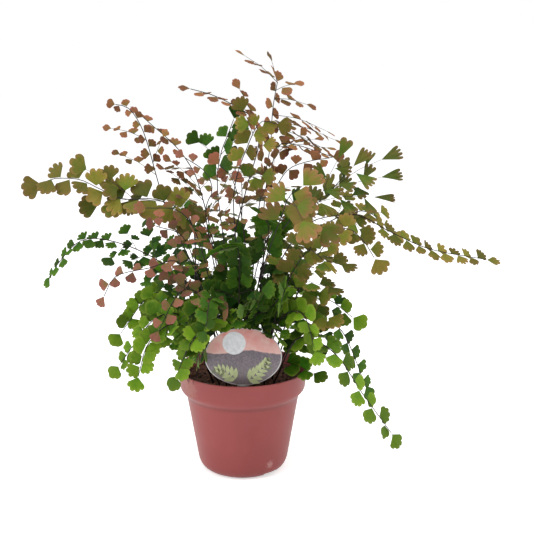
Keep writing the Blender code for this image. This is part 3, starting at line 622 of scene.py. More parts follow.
def printed_shape(name, outlines, colour):
    """Flat shapes of one ink, lying on the label's face."""
    ink, tree, shader, place = new_finish(name + "_ink", Roughness=0.4)
    darker = tuple(0.72 * part for part in colour[:3]) + (1,)
    paint(tree, shader, mottled(tree, place, 300.0, colour, darker, 0.6))
    shapes = bmesh.new()
    for outline in outlines:
        shapes.from_mesh(card(name, outline, PRINT_LIFT))
    bmesh.ops.translate(shapes, verts=shapes.verts, vec=(0, 0, (LABEL_THICKNESS + PRINT_LIFT) / 2 * MM))
    place_on_label(name, mesh_of(name, shapes), ink)


def pointing(angle):
    """A step of 1 across the print, at an angle."""
    return Vector((math.cos(angle), math.sin(angle)))


def sprig(foot, heading, length, leaves, leaf_length, leaf_width):
    """Leaf outlines in pairs along a bending stalk, with one at its tip."""
    shapes = []
    for index in range(leaves):
        share = (index + 0.6) / leaves
        angle = math.radians(heading + 14 * share)
        spine = Vector(foot) + share * length * pointing(angle)
        size = leaf_length * (1.05 - 0.5 * share)
        for side in (-1, 1):
            turn = angle + side * math.radians(52 - 16 * share)
            tip = spine + size * pointing(turn)
            shapes.append(leaf_outline(spine, tip, leaf_width * (1.05 - 0.4 * share)))
    out = pointing(math.radians(heading + 14))
    end = Vector(foot) + length * out
    shapes.append(leaf_outline(end - 0.04 * length * out, end + 0.5 * leaf_length * out, 0.6 * leaf_width))
    return shapes


def ring_outline(centre, radius, steps):
    angles = [math.tau * step / steps for step in range(steps)]
    return [(centre[0] + radius * math.cos(angle), centre[1] + radius * math.sin(angle)) for angle in angles]


near_sprigs = sprig((3.0, -22.0), 32, 24.0, 6, 10.4, 4.0) + sprig((-5.5, -21.5), 134, 19.0, 5, 10.4, 4.0)
back_sprigs = sprig((-15.0, -16.5), 150, 11.5, 3, 6.0, 2.2) + sprig((20.0, -13.5), 66, 11.0, 3, 6.0, 2.2)
printed_shape("print_sprigs", near_sprigs, (0.60, 0.66, 0.34, 1))
printed_shape("print_back_sprigs", back_sprigs, (0.22, 0.25, 0.15, 1))
printed_shape("print_disc", [ring_outline((-8.0, 12.0), 10.2, 48)], (0.90, 0.90, 0.95, 1))

# ---- Fern -------------------------------------------------------------------------------------
# A clump of maidenhair fronds. Each is one wiry, nearly black stalk that rises from the peat, with
# finer side twigs, and on each twig fan-shaped leaflets on hair-thin stalks of their own. The low
# young fronds are fresh green, and the tall ones turn olive, bronze and rose towards their tips.
# The lime of the brightest low fronds is partly painted light, standing in for light through the leaflets.
ROOT_DEPTH = 10.0
ROOT_LEAN = 0.3
STALK_RADII = (0.85, 0.34)
TWIG_RADII = (0.32, 0.17)
HAIR_RADIUS = 0.15
HAIR_LENGTH = 0.08
BLADE_LENGTH = 0.95
STALK_RINGS_APART = 6.0
TWIG_RINGS_APART = 4.0
BLADE_THICKNESS = 0.26
TWIG_OPENING = 68
TWIG_CLOSING = 28
SHORTEST_TWIG = 1.35
LARGE_LEAFLET = 13
LEAFLET_OPENING = 58
LEAFLET_DROOP = 0.35
LEAFLET_SIZES = (0.82, 1.08)
END_LEAFLET = 0.9
LEAST_ROOM = 0.3
LEAFLET_TRIES = ((1.0, 0.0), (0.95, 0.4), (0.9, -0.4), (0.8, 0.0), (0.68, 0.5))
SHINGLE = 0.20
AGE_SPREAD = 0.22
ROOM_BETWEEN = 0.9
SAMPLE_STEP = 1.8
STALK_SAMPLE_STEP = 1.5
LABEL_VIEW = label_place.inverted()
LABEL_VIEW_DEPTH = 90
LABEL_VIEW_SLOPE = 0.17

# A frond leaves the peat at its foot and its stalk passes the places of its route. Blade is the
# share of the stalk below the first twig, reach the longest twig, leaf a leaflet's length, and
# facing the way that the upper side looks. Tips are twigs of their own: the share of the stalk
# where each starts, and where it ends. Pitch is how far apart leaflets stand, in their lengths.
Frond = namedtuple("Frond", "name foot route blade reach twigs leaf facing tone tips pitch",
                   defaults=((), 0.42))
FRONDS = (
    Frond("west_high", (-20, -9), ((-40, -22, 158), (-42, -34, 235), (-69, -42, 258), (-99, -46, 260),
        (-119, -48, 269), (-135, -50, 277), (-155, -50, 278), (-167, -50, 274)), 0.5, 24, 12, 20,
        (-0.1, -0.8, 0.55), "olive", ((0.64, (-120, -44, 255)), (0.72, (-129, -44, 284))), 0.38),
    Frond("west_shoulder", (-10, -5), ((-24, -34, 168), (-36, -46, 224), (-51, -56, 251), (-78, -62, 255)),
        0.52, 26, 8, 12, (-0.05, -0.36, 0.9), "rust", (), 0.75),
    Frond("west_fine", (-18, 5), ((-36, 2, 168), (-67, 6, 240), (-76, 6, 271), (-83, 6, 299), (-90, 6, 319),
        (-100, 6, 333), (-111, 6, 336)), 0.74, 8, 0, 9, (-0.15, -0.45, 0.85), "bronze",
        ((0.72, (-108, 6, 292)), (0.76, (-70, 6, 307)), (0.84, (-115, 6, 315))), 0.75),
    Frond("west_arch", (-10, 18), ((-20, 22, 174), (-39, 30, 257), (-51, 30, 284), (-65, 30, 301),
        (-82, 30, 316), (-93, 30, 326)), 0.66, 24, 5, 11, (-0.1, -0.32, 0.95), "rust",
        ((0.62, (-70, 24, 276)), (0.66, (-64, 24, 283))), 0.75),
    Frond("north_west", (-6, -4), ((-10, -6, 196), (4, -6, 262), (15, -4, 301), (11, -4, 323), (-3, -4, 334),
        (-23, -4, 344), (-36, -4, 348), (-44, -4, 350)), 0.62, 16, 6, 12, (0.35, -0.3, 0.9), "bronze",
        ((0.78, (-1, -2, 349)), (0.8, (9, -2, 347)), (0.82, (22, -2, 342))), 0.58),
    Frond("crown", (-1, -10), ((-4, -20, 200), (-6, -26, 264), (8, -28, 308), (18, -30, 324), (30, -32, 322)),
        0.74, 22, 5, 15, (0.1, -0.8, 0.6), "olive", ((0.9, (3, -30, 332)), (0.84, (18, -34, 304))), 0.55),
    Frond("north_mid", (-6, 4), ((-14, 10, 186), (-22, 8, 260), (-19, 6, 291), (-12, 4, 310), (-7, 4, 323)),
        0.78, 20, 2, 15, (-0.1, -0.75, 0.65), "green", ((0.84, (-37, 6, 302)), (0.86, (1, -6, 309)),
        (0.8, (-40, 4, 317))), 0.6),
    Frond("mid_rose", (-15, -4), ((-22, -14, 176), (-30, -38, 245), (-24, -44, 267), (-30, -44, 283),
        (-47, -44, 295)), 0.66, 28, 5, 9, (0, -0.35, 0.9), "rose", ((0.7, (-4, -40, 286)),
        (0.62, (1, -40, 267))), 0.9),
    Frond("mid_bronze", (1, -4), ((4, -6, 190), (-1, -10, 245), (-8, -12, 272), (-19, -14, 285)), 0.62, 30, 5,
        14, (0.1, -0.4, 0.9), "rust", (), 0.75),
    Frond("north", (0, 9), ((8, 14, 166), (14, 24, 234), (25, 28, 294), (27, 28, 323), (29, 33, 339),
        (32, 40, 354)), 0.8, 8, 0, 12, (0.55, -0.13, 0.8), "bronze", ((0.999, (3, 42, 377)),
        (0.985, (18, 48, 374)), (0.995, (27, 32, 372)), (0.97, (46, 42, 352)), (0.94, (58, 42, 334)),
        (0.885, (76, 44, 310)), (0.86, (84, 40, 302)), (0.84, (71, 36, 296))), 0.62),
    Frond("north_east", (7, 14), ((18, 22, 164), (20, 34, 246), (27, 24, 280), (34, 14, 300), (52, 12, 299),
        (82, 10, 289)), 0.7, 20, 5, 11, (0.45, -0.2, 0.85), "bronze", ((0.78, (64, 20, 304)),
        (0.76, (52, 20, 307)), (0.8, (75, 16, 297))), 0.65),
    Frond("east_ridge", (9, 7), ((18, 0, 188), (26, 4, 260), (30, 2, 263), (41, 0, 279), (57, 0, 286),
        (80, 0, 290)), 0.6, 26, 8, 12, (0.4, -0.35, 0.85), "bronze", ((0.66, (18, -4, 286)),
        (0.7, (29, -4, 288))), 0.62),
    Frond("east_high", (12, -2), ((20, -14, 192), (48, -20, 244), (70, -22, 255), (84, -24, 271),
        (96, -24, 284)), 0.68, 28, 3, 22, (0.2, -0.6, 0.75), "strap", ((0.9, (120, -22, 290)),
        (0.86, (120, -22, 275)), (0.8, (114, -22, 258)), (0.82, (83, -28, 291))), 0.5),
    Frond("east_mid", (17, 7), ((28, 10, 176), (58, 14, 226), (94, 16, 236), (115, 18, 238), (137, 20, 219)),
        0.44, 34, 14, 16, (0.25, -0.55, 0.8), "olive"),
    Frond("east_long", (21, -1), ((48, -14, 164), (66, -20, 224), (97, -24, 243), (130, -26, 228),
        (165, -28, 213), (214, -30, 204)), 0.4, 30, 14, 14, (0.2, -0.55, 0.82), "olive"),
    Frond("east_low", (22, -11), ((50, -44, 180), (72, -60, 224), (88, -64, 238), (102, -68, 229),
        (112, -70, 214)), 0.42, 32, 11, 17, (0.1, -0.7, 0.7), "olive"),
    Frond("near_bronze", (5, -18), ((14, -42, 180), (35, -80, 253), (41, -92, 270), (50, -98, 278)), 0.8, 20,
        1, 22, (0.05, -0.9, 0.4), "copper", ((0.93, (50, -106, 253)), (0.9, (65, -102, 247))), 0.5),
    Frond("near_right", (16, -14), ((36, -40, 176), (55, -70, 219), (61, -78, 221), (68, -82, 215)), 0.6, 28,
        5, 18, (0.2, -0.8, 0.5), "olive", (), 0.5),
    Frond("west_mid", (-25, -4), ((-56, -24, 180), (-71, -34, 203), (-104, -42, 221), (-134, -46, 225),
        (-153, -48, 209), (-164, -48, 193)), 0.36, 30, 15, 12, (-0.15, -0.5, 0.85), "green"),
    Frond("west_rose", (-17, -17), ((-44, -52, 176), (-52, -72, 211), (-74, -86, 209), (-101, -90, 203),
        (-111, -92, 187)), 0.46, 24, 7, 11, (-0.1, -0.85, 0.45), "rose", (), 0.7),
    Frond("west_inner", (-10, -13), ((-35, -36, 182), (-47, -66, 230), (-68, -86, 244)), 0.62, 30, 5, 11,
        (-0.1, -0.7, 0.7), "rose", (), 0.75),
    Frond("mound_w1", (-27, -17), ((-50, -44, 154), (-74, -60, 158), (-104, -70, 120)), 0.2, 36, 19, 14,
        (-0.5, -0.7, 0.5), "bright", (), 0.3),
    Frond("mound_w2", (-21, -25), ((-40, -38, 132), (-58, -68, 156), (-76, -92, 146), (-84, -98, 120)), 0.18,
        36, 19, 15, (-0.35, -0.8, 0.45), "bright", (), 0.3),
    Frond("mound_w3", (-14, -28), ((-15, -33, 144), (-22, -62, 160), (-40, -94, 148), (-52, -102, 122)), 0.14,
        34, 19, 15, (-0.2, -0.9, 0.4), "bright", (), 0.3),
    Frond("mound_w4", (-26, 3), ((-52, -10, 158), (-80, -18, 170), (-108, -26, 136)), 0.2, 36, 16, 15,
        (-0.45, -0.7, 0.55), "bright", (), 0.3),
    Frond("mound_w5", (-12, -22), ((-21, -35, 158), (-36, -62, 182), (-50, -86, 188), (-66, -100, 160)), 0.4,
        30, 7, 11, (-0.3, -0.8, 0.5), "rose", (), 0.7),
    Frond("mound_c1", (-5, -27), ((-7, -31, 148), (-16, -60, 172), (-24, -90, 184), (-27, -112, 164)), 0.16,
        32, 17, 14, (-0.1, -0.8, 0.6), "green", (), 0.36),
    Frond("mound_c2", (3, -29), ((4, -30, 150), (15, -66, 170), (12, -84, 183), (5, -94, 179)), 0.24, 32, 15,
        14, (0, -0.85, 0.5), "green", (), 0.36),
    Frond("mound_c3", (11, -24), ((15, -29, 146), (30, -56, 172), (37, -80, 190), (34, -94, 182)), 0.16, 32,
        17, 15, (0.1, -0.8, 0.6), "green", (), 0.36),
    Frond("mound_e1", (20, -25), ((28, -32, 140), (42, -58, 164), (54, -80, 166), (62, -96, 142)), 0.12, 34,
        17, 15, (0.2, -0.8, 0.55), "bright", (), 0.38),
    Frond("mound_e2", (27, -13), ((46, -32, 152), (72, -44, 172), (96, -52, 158)), 0.16, 34, 14, 16,
        (0.3, -0.75, 0.6), "bright"),
    Frond("trail_east", (29, -21), ((50, -54, 140), (80, -66, 130), (104, -72, 96), (130, -74, 60)), 0.28, 20,
        8, 16, (0.42, -0.7, 0.5), "bright", (), 0.6),
    Frond("drop_east", (28, -5), ((52, -12, 134), (86, -18, 140), (112, -22, 86)), 0.28, 30, 11, 15,
        (0.45, -0.7, 0.55), "green", (), 0.5),
    Frond("centre_1", (-3, -17), ((-2, -40, 170), (-2, -56, 218), (-16, -76, 222)), 0.2, 38, 18, 16,
        (-0.1, -0.75, 0.6), "green", (), 0.32),
    Frond("centre_2", (5, -11), ((14, -24, 176), (24, -36, 230), (18, -60, 248)), 0.26, 42, 18, 18,
        (0.1, -0.7, 0.65), "green", (), 0.32),
    Frond("centre_3", (-12, 11), ((-20, 10, 166), (-34, 20, 224), (-64, 24, 234)), 0.26, 44, 13, 16,
        (-0.2, -0.6, 0.75), "green"),
    Frond("centre_4", (4, 0), ((8, 6, 160), (20, 13, 208), (46, 11, 246)), 0.26, 46, 17, 18,
        (0.1, -0.65, 0.75), "green", (), 0.32),
    Frond("back_w", (-16, 23), ((-28, 50, 148), (-58, 84, 224), (-96, 120, 212)), 0.4, 46, 10, 14,
        (-0.35, -0.1, 0.9), "green"),
    Frond("back_n", (-3, 25), ((-4, 50, 148), (-2, 90, 248), (-10, 140, 262)), 0.45, 46, 10, 14,
        (0, 0.1, 0.95), "olive"),
    Frond("back_e", (12, 21), ((18, 50, 148), (46, 80, 236), (86, 116, 222)), 0.4, 46, 10, 14,
        (0.35, -0.1, 0.9), "olive"),
    Frond("back_low_w", (-23, 18), ((-30, 46, 118), (-54, 86, 148), (-72, 124, 100)), 0.3, 36, 9, 14,
        (-0.3, 0.3, 0.8), "bright"),
    Frond("back_low_e", (20, 16), ((32, 46, 118), (56, 84, 152), (76, 118, 108)), 0.3, 36, 9, 14,
        (0.3, 0.3, 0.8), "bright"),
)

# For each tone: how far a leaflet opens from its middle, how round it is, its lobes and how deep
# they are cut, its colour when young, when aged and at the margin, how aged it is at the foot and
# at the tip of the frond, and how unevenly its leaflets lie.
Tone = namedtuple("Tone", "opening roundness lobes cut young aged margin ages flutter", defaults=(0.3,))
TONES = {
    "olive": Tone(54, 0.42, 4, 0.20, (0.070, 0.120, 0.008), (0.185, 0.145, 0.024), (0.265, 0.150, 0.052),
                  (0.05, 0.75)),
    "bronze": Tone(52, 0.55, 3, 0.12, (0.105, 0.120, 0.014), (0.215, 0.090, 0.036), (0.270, 0.095, 0.055),
                   (0.25, 0.95), 0.2),
    "rust": Tone(54, 0.5, 4, 0.17, (0.105, 0.125, 0.014), (0.240, 0.088, 0.045), (0.290, 0.100, 0.070),
                 (0.25, 0.85)),
    "copper": Tone(52, 0.30, 4, 0.26, (0.090, 0.170, 0.010), (0.255, 0.130, 0.046), (0.310, 0.135, 0.070),
                   (0.12, 0.55)),
    "rose": Tone(45, 0.45, 3, 0.10, (0.070, 0.110, 0.012), (0.200, 0.078, 0.050), (0.230, 0.085, 0.065),
                 (0.25, 1.0), 0.4),
    "strap": Tone(23, 0.1, 3, 0.24, (0.035, 0.105, 0.008), (0.130, 0.130, 0.020), (0.220, 0.110, 0.050),
                  (0.05, 0.8)),
    "green": Tone(54, 0.42, 4, 0.18, (0.009, 0.045, 0.002), (0.042, 0.108, 0.005), (0.080, 0.130, 0.012),
                  (0.0, 0.8), 0.4),
    # bright: partly the fresh green of young leaflets and partly painted light, a lighter lime that stands in
    # for light shining through the thin blades.
    "bright": Tone(58, 0.55, 4, 0.13, (0.028, 0.110, 0.003), (0.125, 0.225, 0.010), (0.190, 0.260, 0.030),
                   (0.05, 0.9), 0.4),
}


class Line:
    """A smooth line through a few points, read by the length along it."""

    def __init__(self, points, bends=12):
        points = [Vector(point) for point in points]
        ends = [2 * points[0] - points[1]] + points + [2 * points[-1] - points[-2]]
        self.places = []
        for a, b, c, d in zip(ends, ends[1:], ends[2:], ends[3:]):
            for bend in range(bends):
                t = bend / bends
                self.places.append(0.5 * (2 * b + (c - a) * t + (2 * a - 5 * b + 4 * c - d) * t * t
                                          + (3 * b - a - 3 * c + d) * t ** 3))
        self.places.append(points[-1])
        self.runs = [0.0]
        for start, end in zip(self.places, self.places[1:]):
            self.runs.append(self.runs[-1] + (end - start).length)
        self.length = self.runs[-1]

    def between(self, values, run):
        """The value at a run, from values given at each place."""
        run = min(max(run, 0.0), self.length)
        index = 1
        while self.runs[index] < run:
            index += 1
        share = (run - self.runs[index - 1]) / (self.runs[index] - self.runs[index - 1])
        return values[index - 1].lerp(values[index], share)

    def place(self, run):
        return self.between(self.places, run)

    def heading(self, run):
        return (self.place(run + 1.5) - self.place(run - 1.5)).normalized()

    def points(self, start, end, step):
        """Places a step apart, from one run to another."""
        count = max(1, round((end - start) / step))
        return [self.place(start + (end - start) * index / count) for index in range(count + 1)]


def square_to(along, direction):
    """The part of a direction that stands square to along."""
    return (direction - direction.dot(along) * along).normalized()


def carried_normals(line, facing, faced_run):
    """A normal at each place: facing at one run, carried both ways without twist."""
    first = min(range(len(line.runs)), key=lambda index: abs(line.runs[index] - faced_run))
    normals = {first: square_to(line.heading(line.runs[first]), facing)}
    for index in range(first + 1, len(line.runs)):
        normals[index] = square_to(line.heading(line.runs[index]), normals[index - 1])
    for index in range(first - 1, -1, -1):
        normals[index] = square_to(line.heading(line.runs[index]), normals[index + 1])
    return [normals[index] for index in range(len(line.runs))]


class Twig:
    """A stalk or side twig with the leaflets that grow from it."""

    def __init__(self, key, line, facing, faced_run, share):
        self.key = key
        self.line = line
        self.normals = carried_normals(line, facing, faced_run)
        self.share = share
        self.reach = line.length
        self.leaflets = []

    def frame(self, run):
        along = self.line.heading(run)
        normal = square_to(along, self.line.between(self.normals, run))
        return self.line.place(run), along, normal.cross(along), normal


class Leaflet:
    """One fan-shaped leaflet on its hair-thin stalk."""

    def __init__(self, foot, along, normal, length, tone, rng):
        self.foot = foot
        self.base = foot + HAIR_LENGTH * length * along
        self.along = along
        self.normal = normal
        self.across = normal.cross(along)
        self.length = BLADE_LENGTH * length
        self.tone = tone
        self.opening = math.radians(tone.opening * rng.uniform(0.88, 1.1))
        self.lobes = max(2, tone.lobes + rng.choice((-1, 0, 0, 1)))
        self.cut = tone.cut * rng.uniform(0.6, 1.3)
        self.slant = rng.uniform(-0.12, 0.12)
        self.cup = rng.uniform(-0.10, 0.20)
        self.curl = rng.uniform(-0.02, 0.20)
        self.wave = rng.uniform(0, math.tau)
        self.ruffle = rng.uniform(0.01, 0.045)

    def margin(self, share):
        """How far the blade reaches, from its foot, at a share of its opening."""
        lobe = abs(math.sin(math.pi * self.lobes * (share + 1) / 2 + self.slant * (1 - share * share)))
        notch = (1 - lobe) ** 2.2
        if abs(share) > 0.999:
            notch = 0.75
        return self.length * math.cos(self.opening * share) ** self.tone.roundness * (1 - self.cut * notch)

    def point(self, share, out):
        """A place on the blade: across its opening from -1 to 1, and out from its foot to its edge."""
        angle = self.opening * share
        radius = out * self.margin(share)
        x, y = radius * math.cos(angle), radius * math.sin(angle)
        spread = y / self.length
        lift = self.cup * spread * spread * self.length - self.curl * out ** 2.5 * 0.5 * self.length
        lift += self.ruffle * self.length * out ** 2 * math.sin(self.wave + 5.5 * share)
        return self.base + x * self.along + y * self.across + lift * self.normal

    def samples(self):
        places = []
        rings = max(2, math.ceil(self.length / SAMPLE_STEP))
        for ring in range(1, rings + 1):
            out = 0.12 + 0.88 * ring / rings
            steps = max(2, math.ceil(2 * out * self.length * self.opening * 0.8 / SAMPLE_STEP))
            places += [self.point(2 * step / steps - 1, out) for step in range(steps + 1)]
        return places


class Room:
    """The space already taken, as points sorted into cells."""

    def __init__(self, gap):
        self.gap = gap
        self.cells = {}

    def cell(self, point):
        return tuple(math.floor(value / self.gap) for value in point)

    def add(self, key, points):
        for point in points:
            self.cells.setdefault(self.cell(point), []).append((key, point))

    def free(self, points, ignore):
        """True where no taken point of another key lies nearer than the gap."""
        for point in points:
            i, j, k = self.cell(point)
            for a, b, c in product((i - 1, i, i + 1), (j - 1, j, j + 1), (k - 1, k, k + 1)):
                for key, other in self.cells.get((a, b, c), ()):
                    if key not in ignore and (other - point).length < self.gap:
                        return False
        return True


def label_oval(x, y):
    """Below 1 inside the label's oval, and 1 on its edge."""
    return (2 * x / LABEL_SIZE[0]) ** 2 + (2 * y / LABEL_SIZE[1]) ** 2


def fill_holder(room):
    """Take up the pot's outside, the soil's top and the label."""
    step = SAMPLE_STEP * 0.8
    for row in range(int(POT_HEIGHT / step) + 2):
        height = min(row * step, POT_HEIGHT)
        radius = RIM_RADIUS - max(0.0, POT_HEIGHT - BAND_HEIGHT - height) * 0.25
        count = math.ceil(math.tau * radius / step)
        angles = [math.tau * index / count for index in range(count)]
        room.add("pot", [Vector((radius * math.cos(angle), radius * math.sin(angle), height))
                         for angle in angles])
    half = int(RIM_RADIUS / step)
    for column, row in product(range(-half, half + 1), repeat=2):
        x, y = column * step, row * step
        ground = Vector((x, y, SOIL_TOP))
        if ground.to_2d().length < BAND_RADIUS:
            room.add("soil", [ground])
        if label_oval(x, y) < 1.05:
            room.add("label", [label_place @ (Vector((x, y, 0)) * MM) / MM])


def hides_label(places):
    """True where a leaflet hangs in front of the label, seen from a little above."""
    for place in places:
        x, y, z = LABEL_VIEW @ (place * MM) / MM
        if 0 < z < LABEL_VIEW_DEPTH and label_oval(x, y - LABEL_VIEW_SLOPE * z) < 0.8:
            return True
    return False


def stalk_line(frond):
    """The stalk runs straight through the soil, then on along its route."""
    foot = Vector((*frond.foot, SOIL_TOP + 1))
    lead = (Vector(frond.route[0]) - foot).normalized()
    root = foot - (ROOT_DEPTH + 1) * Vector((ROOT_LEAN * lead.x, ROOT_LEAN * lead.y, 1))
    return root, Line((foot, foot + 8 * lead) + frond.route)


def plan_twigs(frond, stalk, room):
    """Side twigs, shorter towards the tip, each cut short where another frond is in its way.

    Where a twig would be hardly longer than a leaflet, the stalk carries leaflets itself.
    """
    rng = random.Random(frond.name)
    start = frond.blade * stalk.line.length
    bare = start
    twigs = []
    for index in range(frond.twigs):
        share = index / frond.twigs
        run = start + (stalk.line.length - start) * 0.96 * share ** 0.9
        side = 1 if index % 2 else -1
        angle = math.radians(TWIG_OPENING - TWIG_CLOSING * share + rng.uniform(-6, 6))
        lift = rng.uniform(-0.15, 0.15)
        reach = frond.reach * (1 - share) ** 0.8 * rng.uniform(0.88, 1.08)
        sag = rng.uniform(0.02, 0.16)
        turn = Vector([rng.uniform(-0.35, 0.35) for axis in range(3)])
        bare = run
        if reach < SHORTEST_TWIG * frond.leaf:
            break
        place, along, across, normal = stalk.frame(run)
        heading = math.cos(angle) * along + side * math.sin(angle) * across + lift * normal
        heading.normalize()
        ends = [place + out * reach * heading - sag * reach * out ** 2 * UP for out in (0, 0.5, 1)]
        twigs.append(new_twig(frond, stalk, index, share, ends, turn, room))
    for index, (share, tip) in enumerate(frond.tips):
        run = share * stalk.line.length
        place, along, across, normal = stalk.frame(run)
        tip = Vector(tip)
        middle = (place + tip) / 2 + 0.06 * (tip - place).length * UP
        twigs.append(new_twig(frond, stalk, 100 + index, share, [place, middle, tip], Vector(), room))
    return twigs, bare


def new_twig(frond, stalk, number, share, ends, turn, room):
    """A twig as far as it is clear of the other fronds."""
    line = Line(ends, bends=6)
    clear = line.points(0, line.length, STALK_SAMPLE_STEP)
    whole = len(clear)
    while len(clear) > 1 and not room.free(clear[2:], ignore=(stalk.key,)):
        clear.pop()
    twig = Twig((frond.name, number), line, Vector(frond.facing) + turn, 0.0, share)
    twig.reach = line.length * (len(clear) - 1) / max(1, whole - 1)
    room.add(twig.key, clear[2:])
    return twig


def add_leaflet(frond, twig, run, side, length, rng, room):
    """Grow a leaflet where it is clear of all others, turned or smaller if need be."""
    place, along, across, normal = twig.frame(run)
    tone = TONES[frond.tone]
    flutter = tone.flutter
    for size, bend in LEAFLET_TRIES:
        angle = math.radians(LEAFLET_OPENING + rng.uniform(-10, 10)) * abs(side)
        heading = math.cos(angle) * along + side * math.sin(angle) * across
        heading -= rng.uniform(0.0, LEAFLET_DROOP) * UP * abs(side)
        heading = (heading + bend * normal).normalized()
        tilt = rng.uniform(-flutter, flutter) * across
        tilt += (SHINGLE + rng.uniform(-flutter, flutter) / 2) * along
        leaflet = Leaflet(place, heading, square_to(heading, normal + tilt), size * length, tone, rng)
        places = leaflet.samples()
        if room.free(places, ignore=(twig.key,)) and not hides_label(places):
            room.add((*twig.key, round(run, 1), side), places)
            twig.leaflets.append((run, leaflet))
            return True
    return False


def leaf_twig(frond, twig, rng, room):
    """Leaflets alternate along a twig, and one ends it."""
    leaf = frond.leaf
    while twig.reach > LEAST_ROOM * leaf:
        if add_leaflet(frond, twig, twig.reach, 0, END_LEAFLET * leaf, rng, room):
            break
        twig.reach -= LEAST_ROOM * leaf
    else:
        return False
    side = 1 if rng.random() < 0.5 else -1
    run = 0.5 * leaf
    while run < twig.reach - LEAST_ROOM * leaf:
        length = leaf * (1 - 0.25 * run / twig.reach) * rng.uniform(*LEAFLET_SIZES)
        add_leaflet(frond, twig, run, side, length, rng, room)
        run += frond.pitch * leaf
        side = -side
    return True


def plan_fronds():
    """Stalks first, then twigs, then leaflets, so that none grows through another."""
    room = Room(ROOM_BETWEEN)
    fill_holder(room)
    plans = []
    for frond in FRONDS:
        root, line = stalk_line(frond)
        faced_run = (1 + frond.blade) / 2 * line.length
        stalk = Twig((frond.name, "stalk"), line, Vector(frond.facing), faced_run, 1.0)
        room.add(stalk.key, line.points(0, line.length, STALK_SAMPLE_STEP))
        plans.append((frond, root, stalk, random.Random(frond.name + " leaflets")))
    for frond, root, stalk, rng in plans:
        add_leaflet(frond, stalk, stalk.line.length, 0, END_LEAFLET * frond.leaf, rng, room)
    twigs_of = {frond.name: plan_twigs(frond, stalk, room) for frond, root, stalk, rng in plans}
    grown = []
    for frond, root, stalk, rng in plans:
        twigs, run = twigs_of[frond.name]
        side = 1
        while run < stalk.line.length - LEAST_ROOM * frond.leaf:
            further = (run - frond.blade * stalk.line.length) / (stalk.line.length * (1 - frond.blade))
            length = frond.leaf * (1 - 0.2 * further) * rng.uniform(*LEAFLET_SIZES)
            add_leaflet(frond, stalk, run, side, length, rng, room)
            run += frond.pitch * frond.leaf
            side = -side
        kept = [twig for twig in twigs if leaf_twig(frond, twig, rng, room)]
        grown.append((frond, root, stalk, kept, rng))
    return grown


STALK, BLADE = 0, 1
BLADE_RINGS = (0.03, 0.2, 0.42, 0.64, 0.82, 0.93, 1.0)


def add_blade(skin, leaflet, age, hue):
    """A thin closed blade: an upper and a lower side joined round their edge."""
    small = leaflet.length < LARGE_LEAFLET
    steps = max(16, 4 * leaflet.lobes) if small else 6 * leaflet.lobes
    half = BLADE_THICKNESS / 2 * leaflet.normal
    places, faces, outs, acrosses = [], [], [], []
    for side in (1, -1):
        for out in BLADE_RINGS:
            for step in range(steps + 1):
                share = 2 * step / steps - 1
                places.append(leaflet.point(share, out) + side * half)
                outs.append(out)
                acrosses.append(share)
    wide = steps + 1
    lower = len(BLADE_RINGS) * wide
    for ring in range(len(BLADE_RINGS) - 1):
        for step in range(steps):
            corner = ring * wide + step
            square = [corner, corner + wide, corner + wide + 1, corner + 1]
            faces.append(square)
            faces.append([lower + index for index in square[::-1]])
    rim = list(range(wide)) + [ring * wide + steps for ring in range(1, len(BLADE_RINGS))]
    rim += list(range(lower - 2, lower - wide - 1, -1))
    rim += [ring * wide for ring in range(len(BLADE_RINGS) - 2, 0, -1)]
    for start, after in zip(rim, rim[1:] + rim[:1]):
        faces.append([start, after, lower + after, lower + start])
    skin.add(places, faces, BLADE, leaf_out=outs, leaf_across=acrosses, leaf_age=age, leaf_hue=hue,
             leaf_under=[0.0] * lower + [1.0] * lower)


def tapered(radii, count):
    """The radius at each point of a stalk that narrows from the first radius to the second."""
    start, end = radii
    return [start + (end - start) * (index / (count - 1)) ** 0.8 for index in range(count)]


def build_frond(frond, root, stalk, twigs, rng, finishes):
    """One piece of a stalk, its twigs, the leaflets' hairs and their blades."""
    skin = Skin()
    points = [root] + stalk.line.points(0, stalk.line.length, STALK_RINGS_APART)
    add_tube(skin, points, tapered(STALK_RADII, len(points)), 8, STALK, leaf_hue=0.2)
    for twig in [stalk] + twigs:
        if twig is not stalk:
            points = twig.line.points(0, twig.reach, TWIG_RINGS_APART)
            add_tube(skin, points, tapered(TWIG_RADII, len(points)), 6, STALK, leaf_hue=0.6)
        for run, leaflet in twig.leaflets:
            add_tube(skin, [leaflet.foot, leaflet.base + 0.06 * leaflet.length * leaflet.along],
                     [HAIR_RADIUS, HAIR_RADIUS * 0.8], 5, STALK, leaf_hue=0.9)
            young, old = leaflet.tone.ages
            further = 0.6 * twig.share + 0.4 * run / max(1.0, twig.reach)
            age = young + (old - young) * further + rng.uniform(-AGE_SPREAD, AGE_SPREAD)
            add_blade(skin, leaflet, min(max(age, 0.0), 1.0), rng.random())
    new_piece("fern_" + frond.name, skin.mesh(frond.name), "frond_" + frond.name,
              [finishes["stalk"], finishes[frond.tone]], 50)


# Leaf skin: colour from the leaflet's age, its margin, its fan of veins and patches, and the veins
# as a height.
leaf_skin, given, made = new_effect(
    "leaf_skin", {"Vector": None, "Young": (0, 1, 0, 1), "Aged": (1, 0.5, 0, 1), "Margin": (1, 0.5, 0.2, 1),
                  "Margin amount": 0.6}, {"Colour": (1, 1, 1, 1), "Roughness": 0.5, "Height": 0.0})


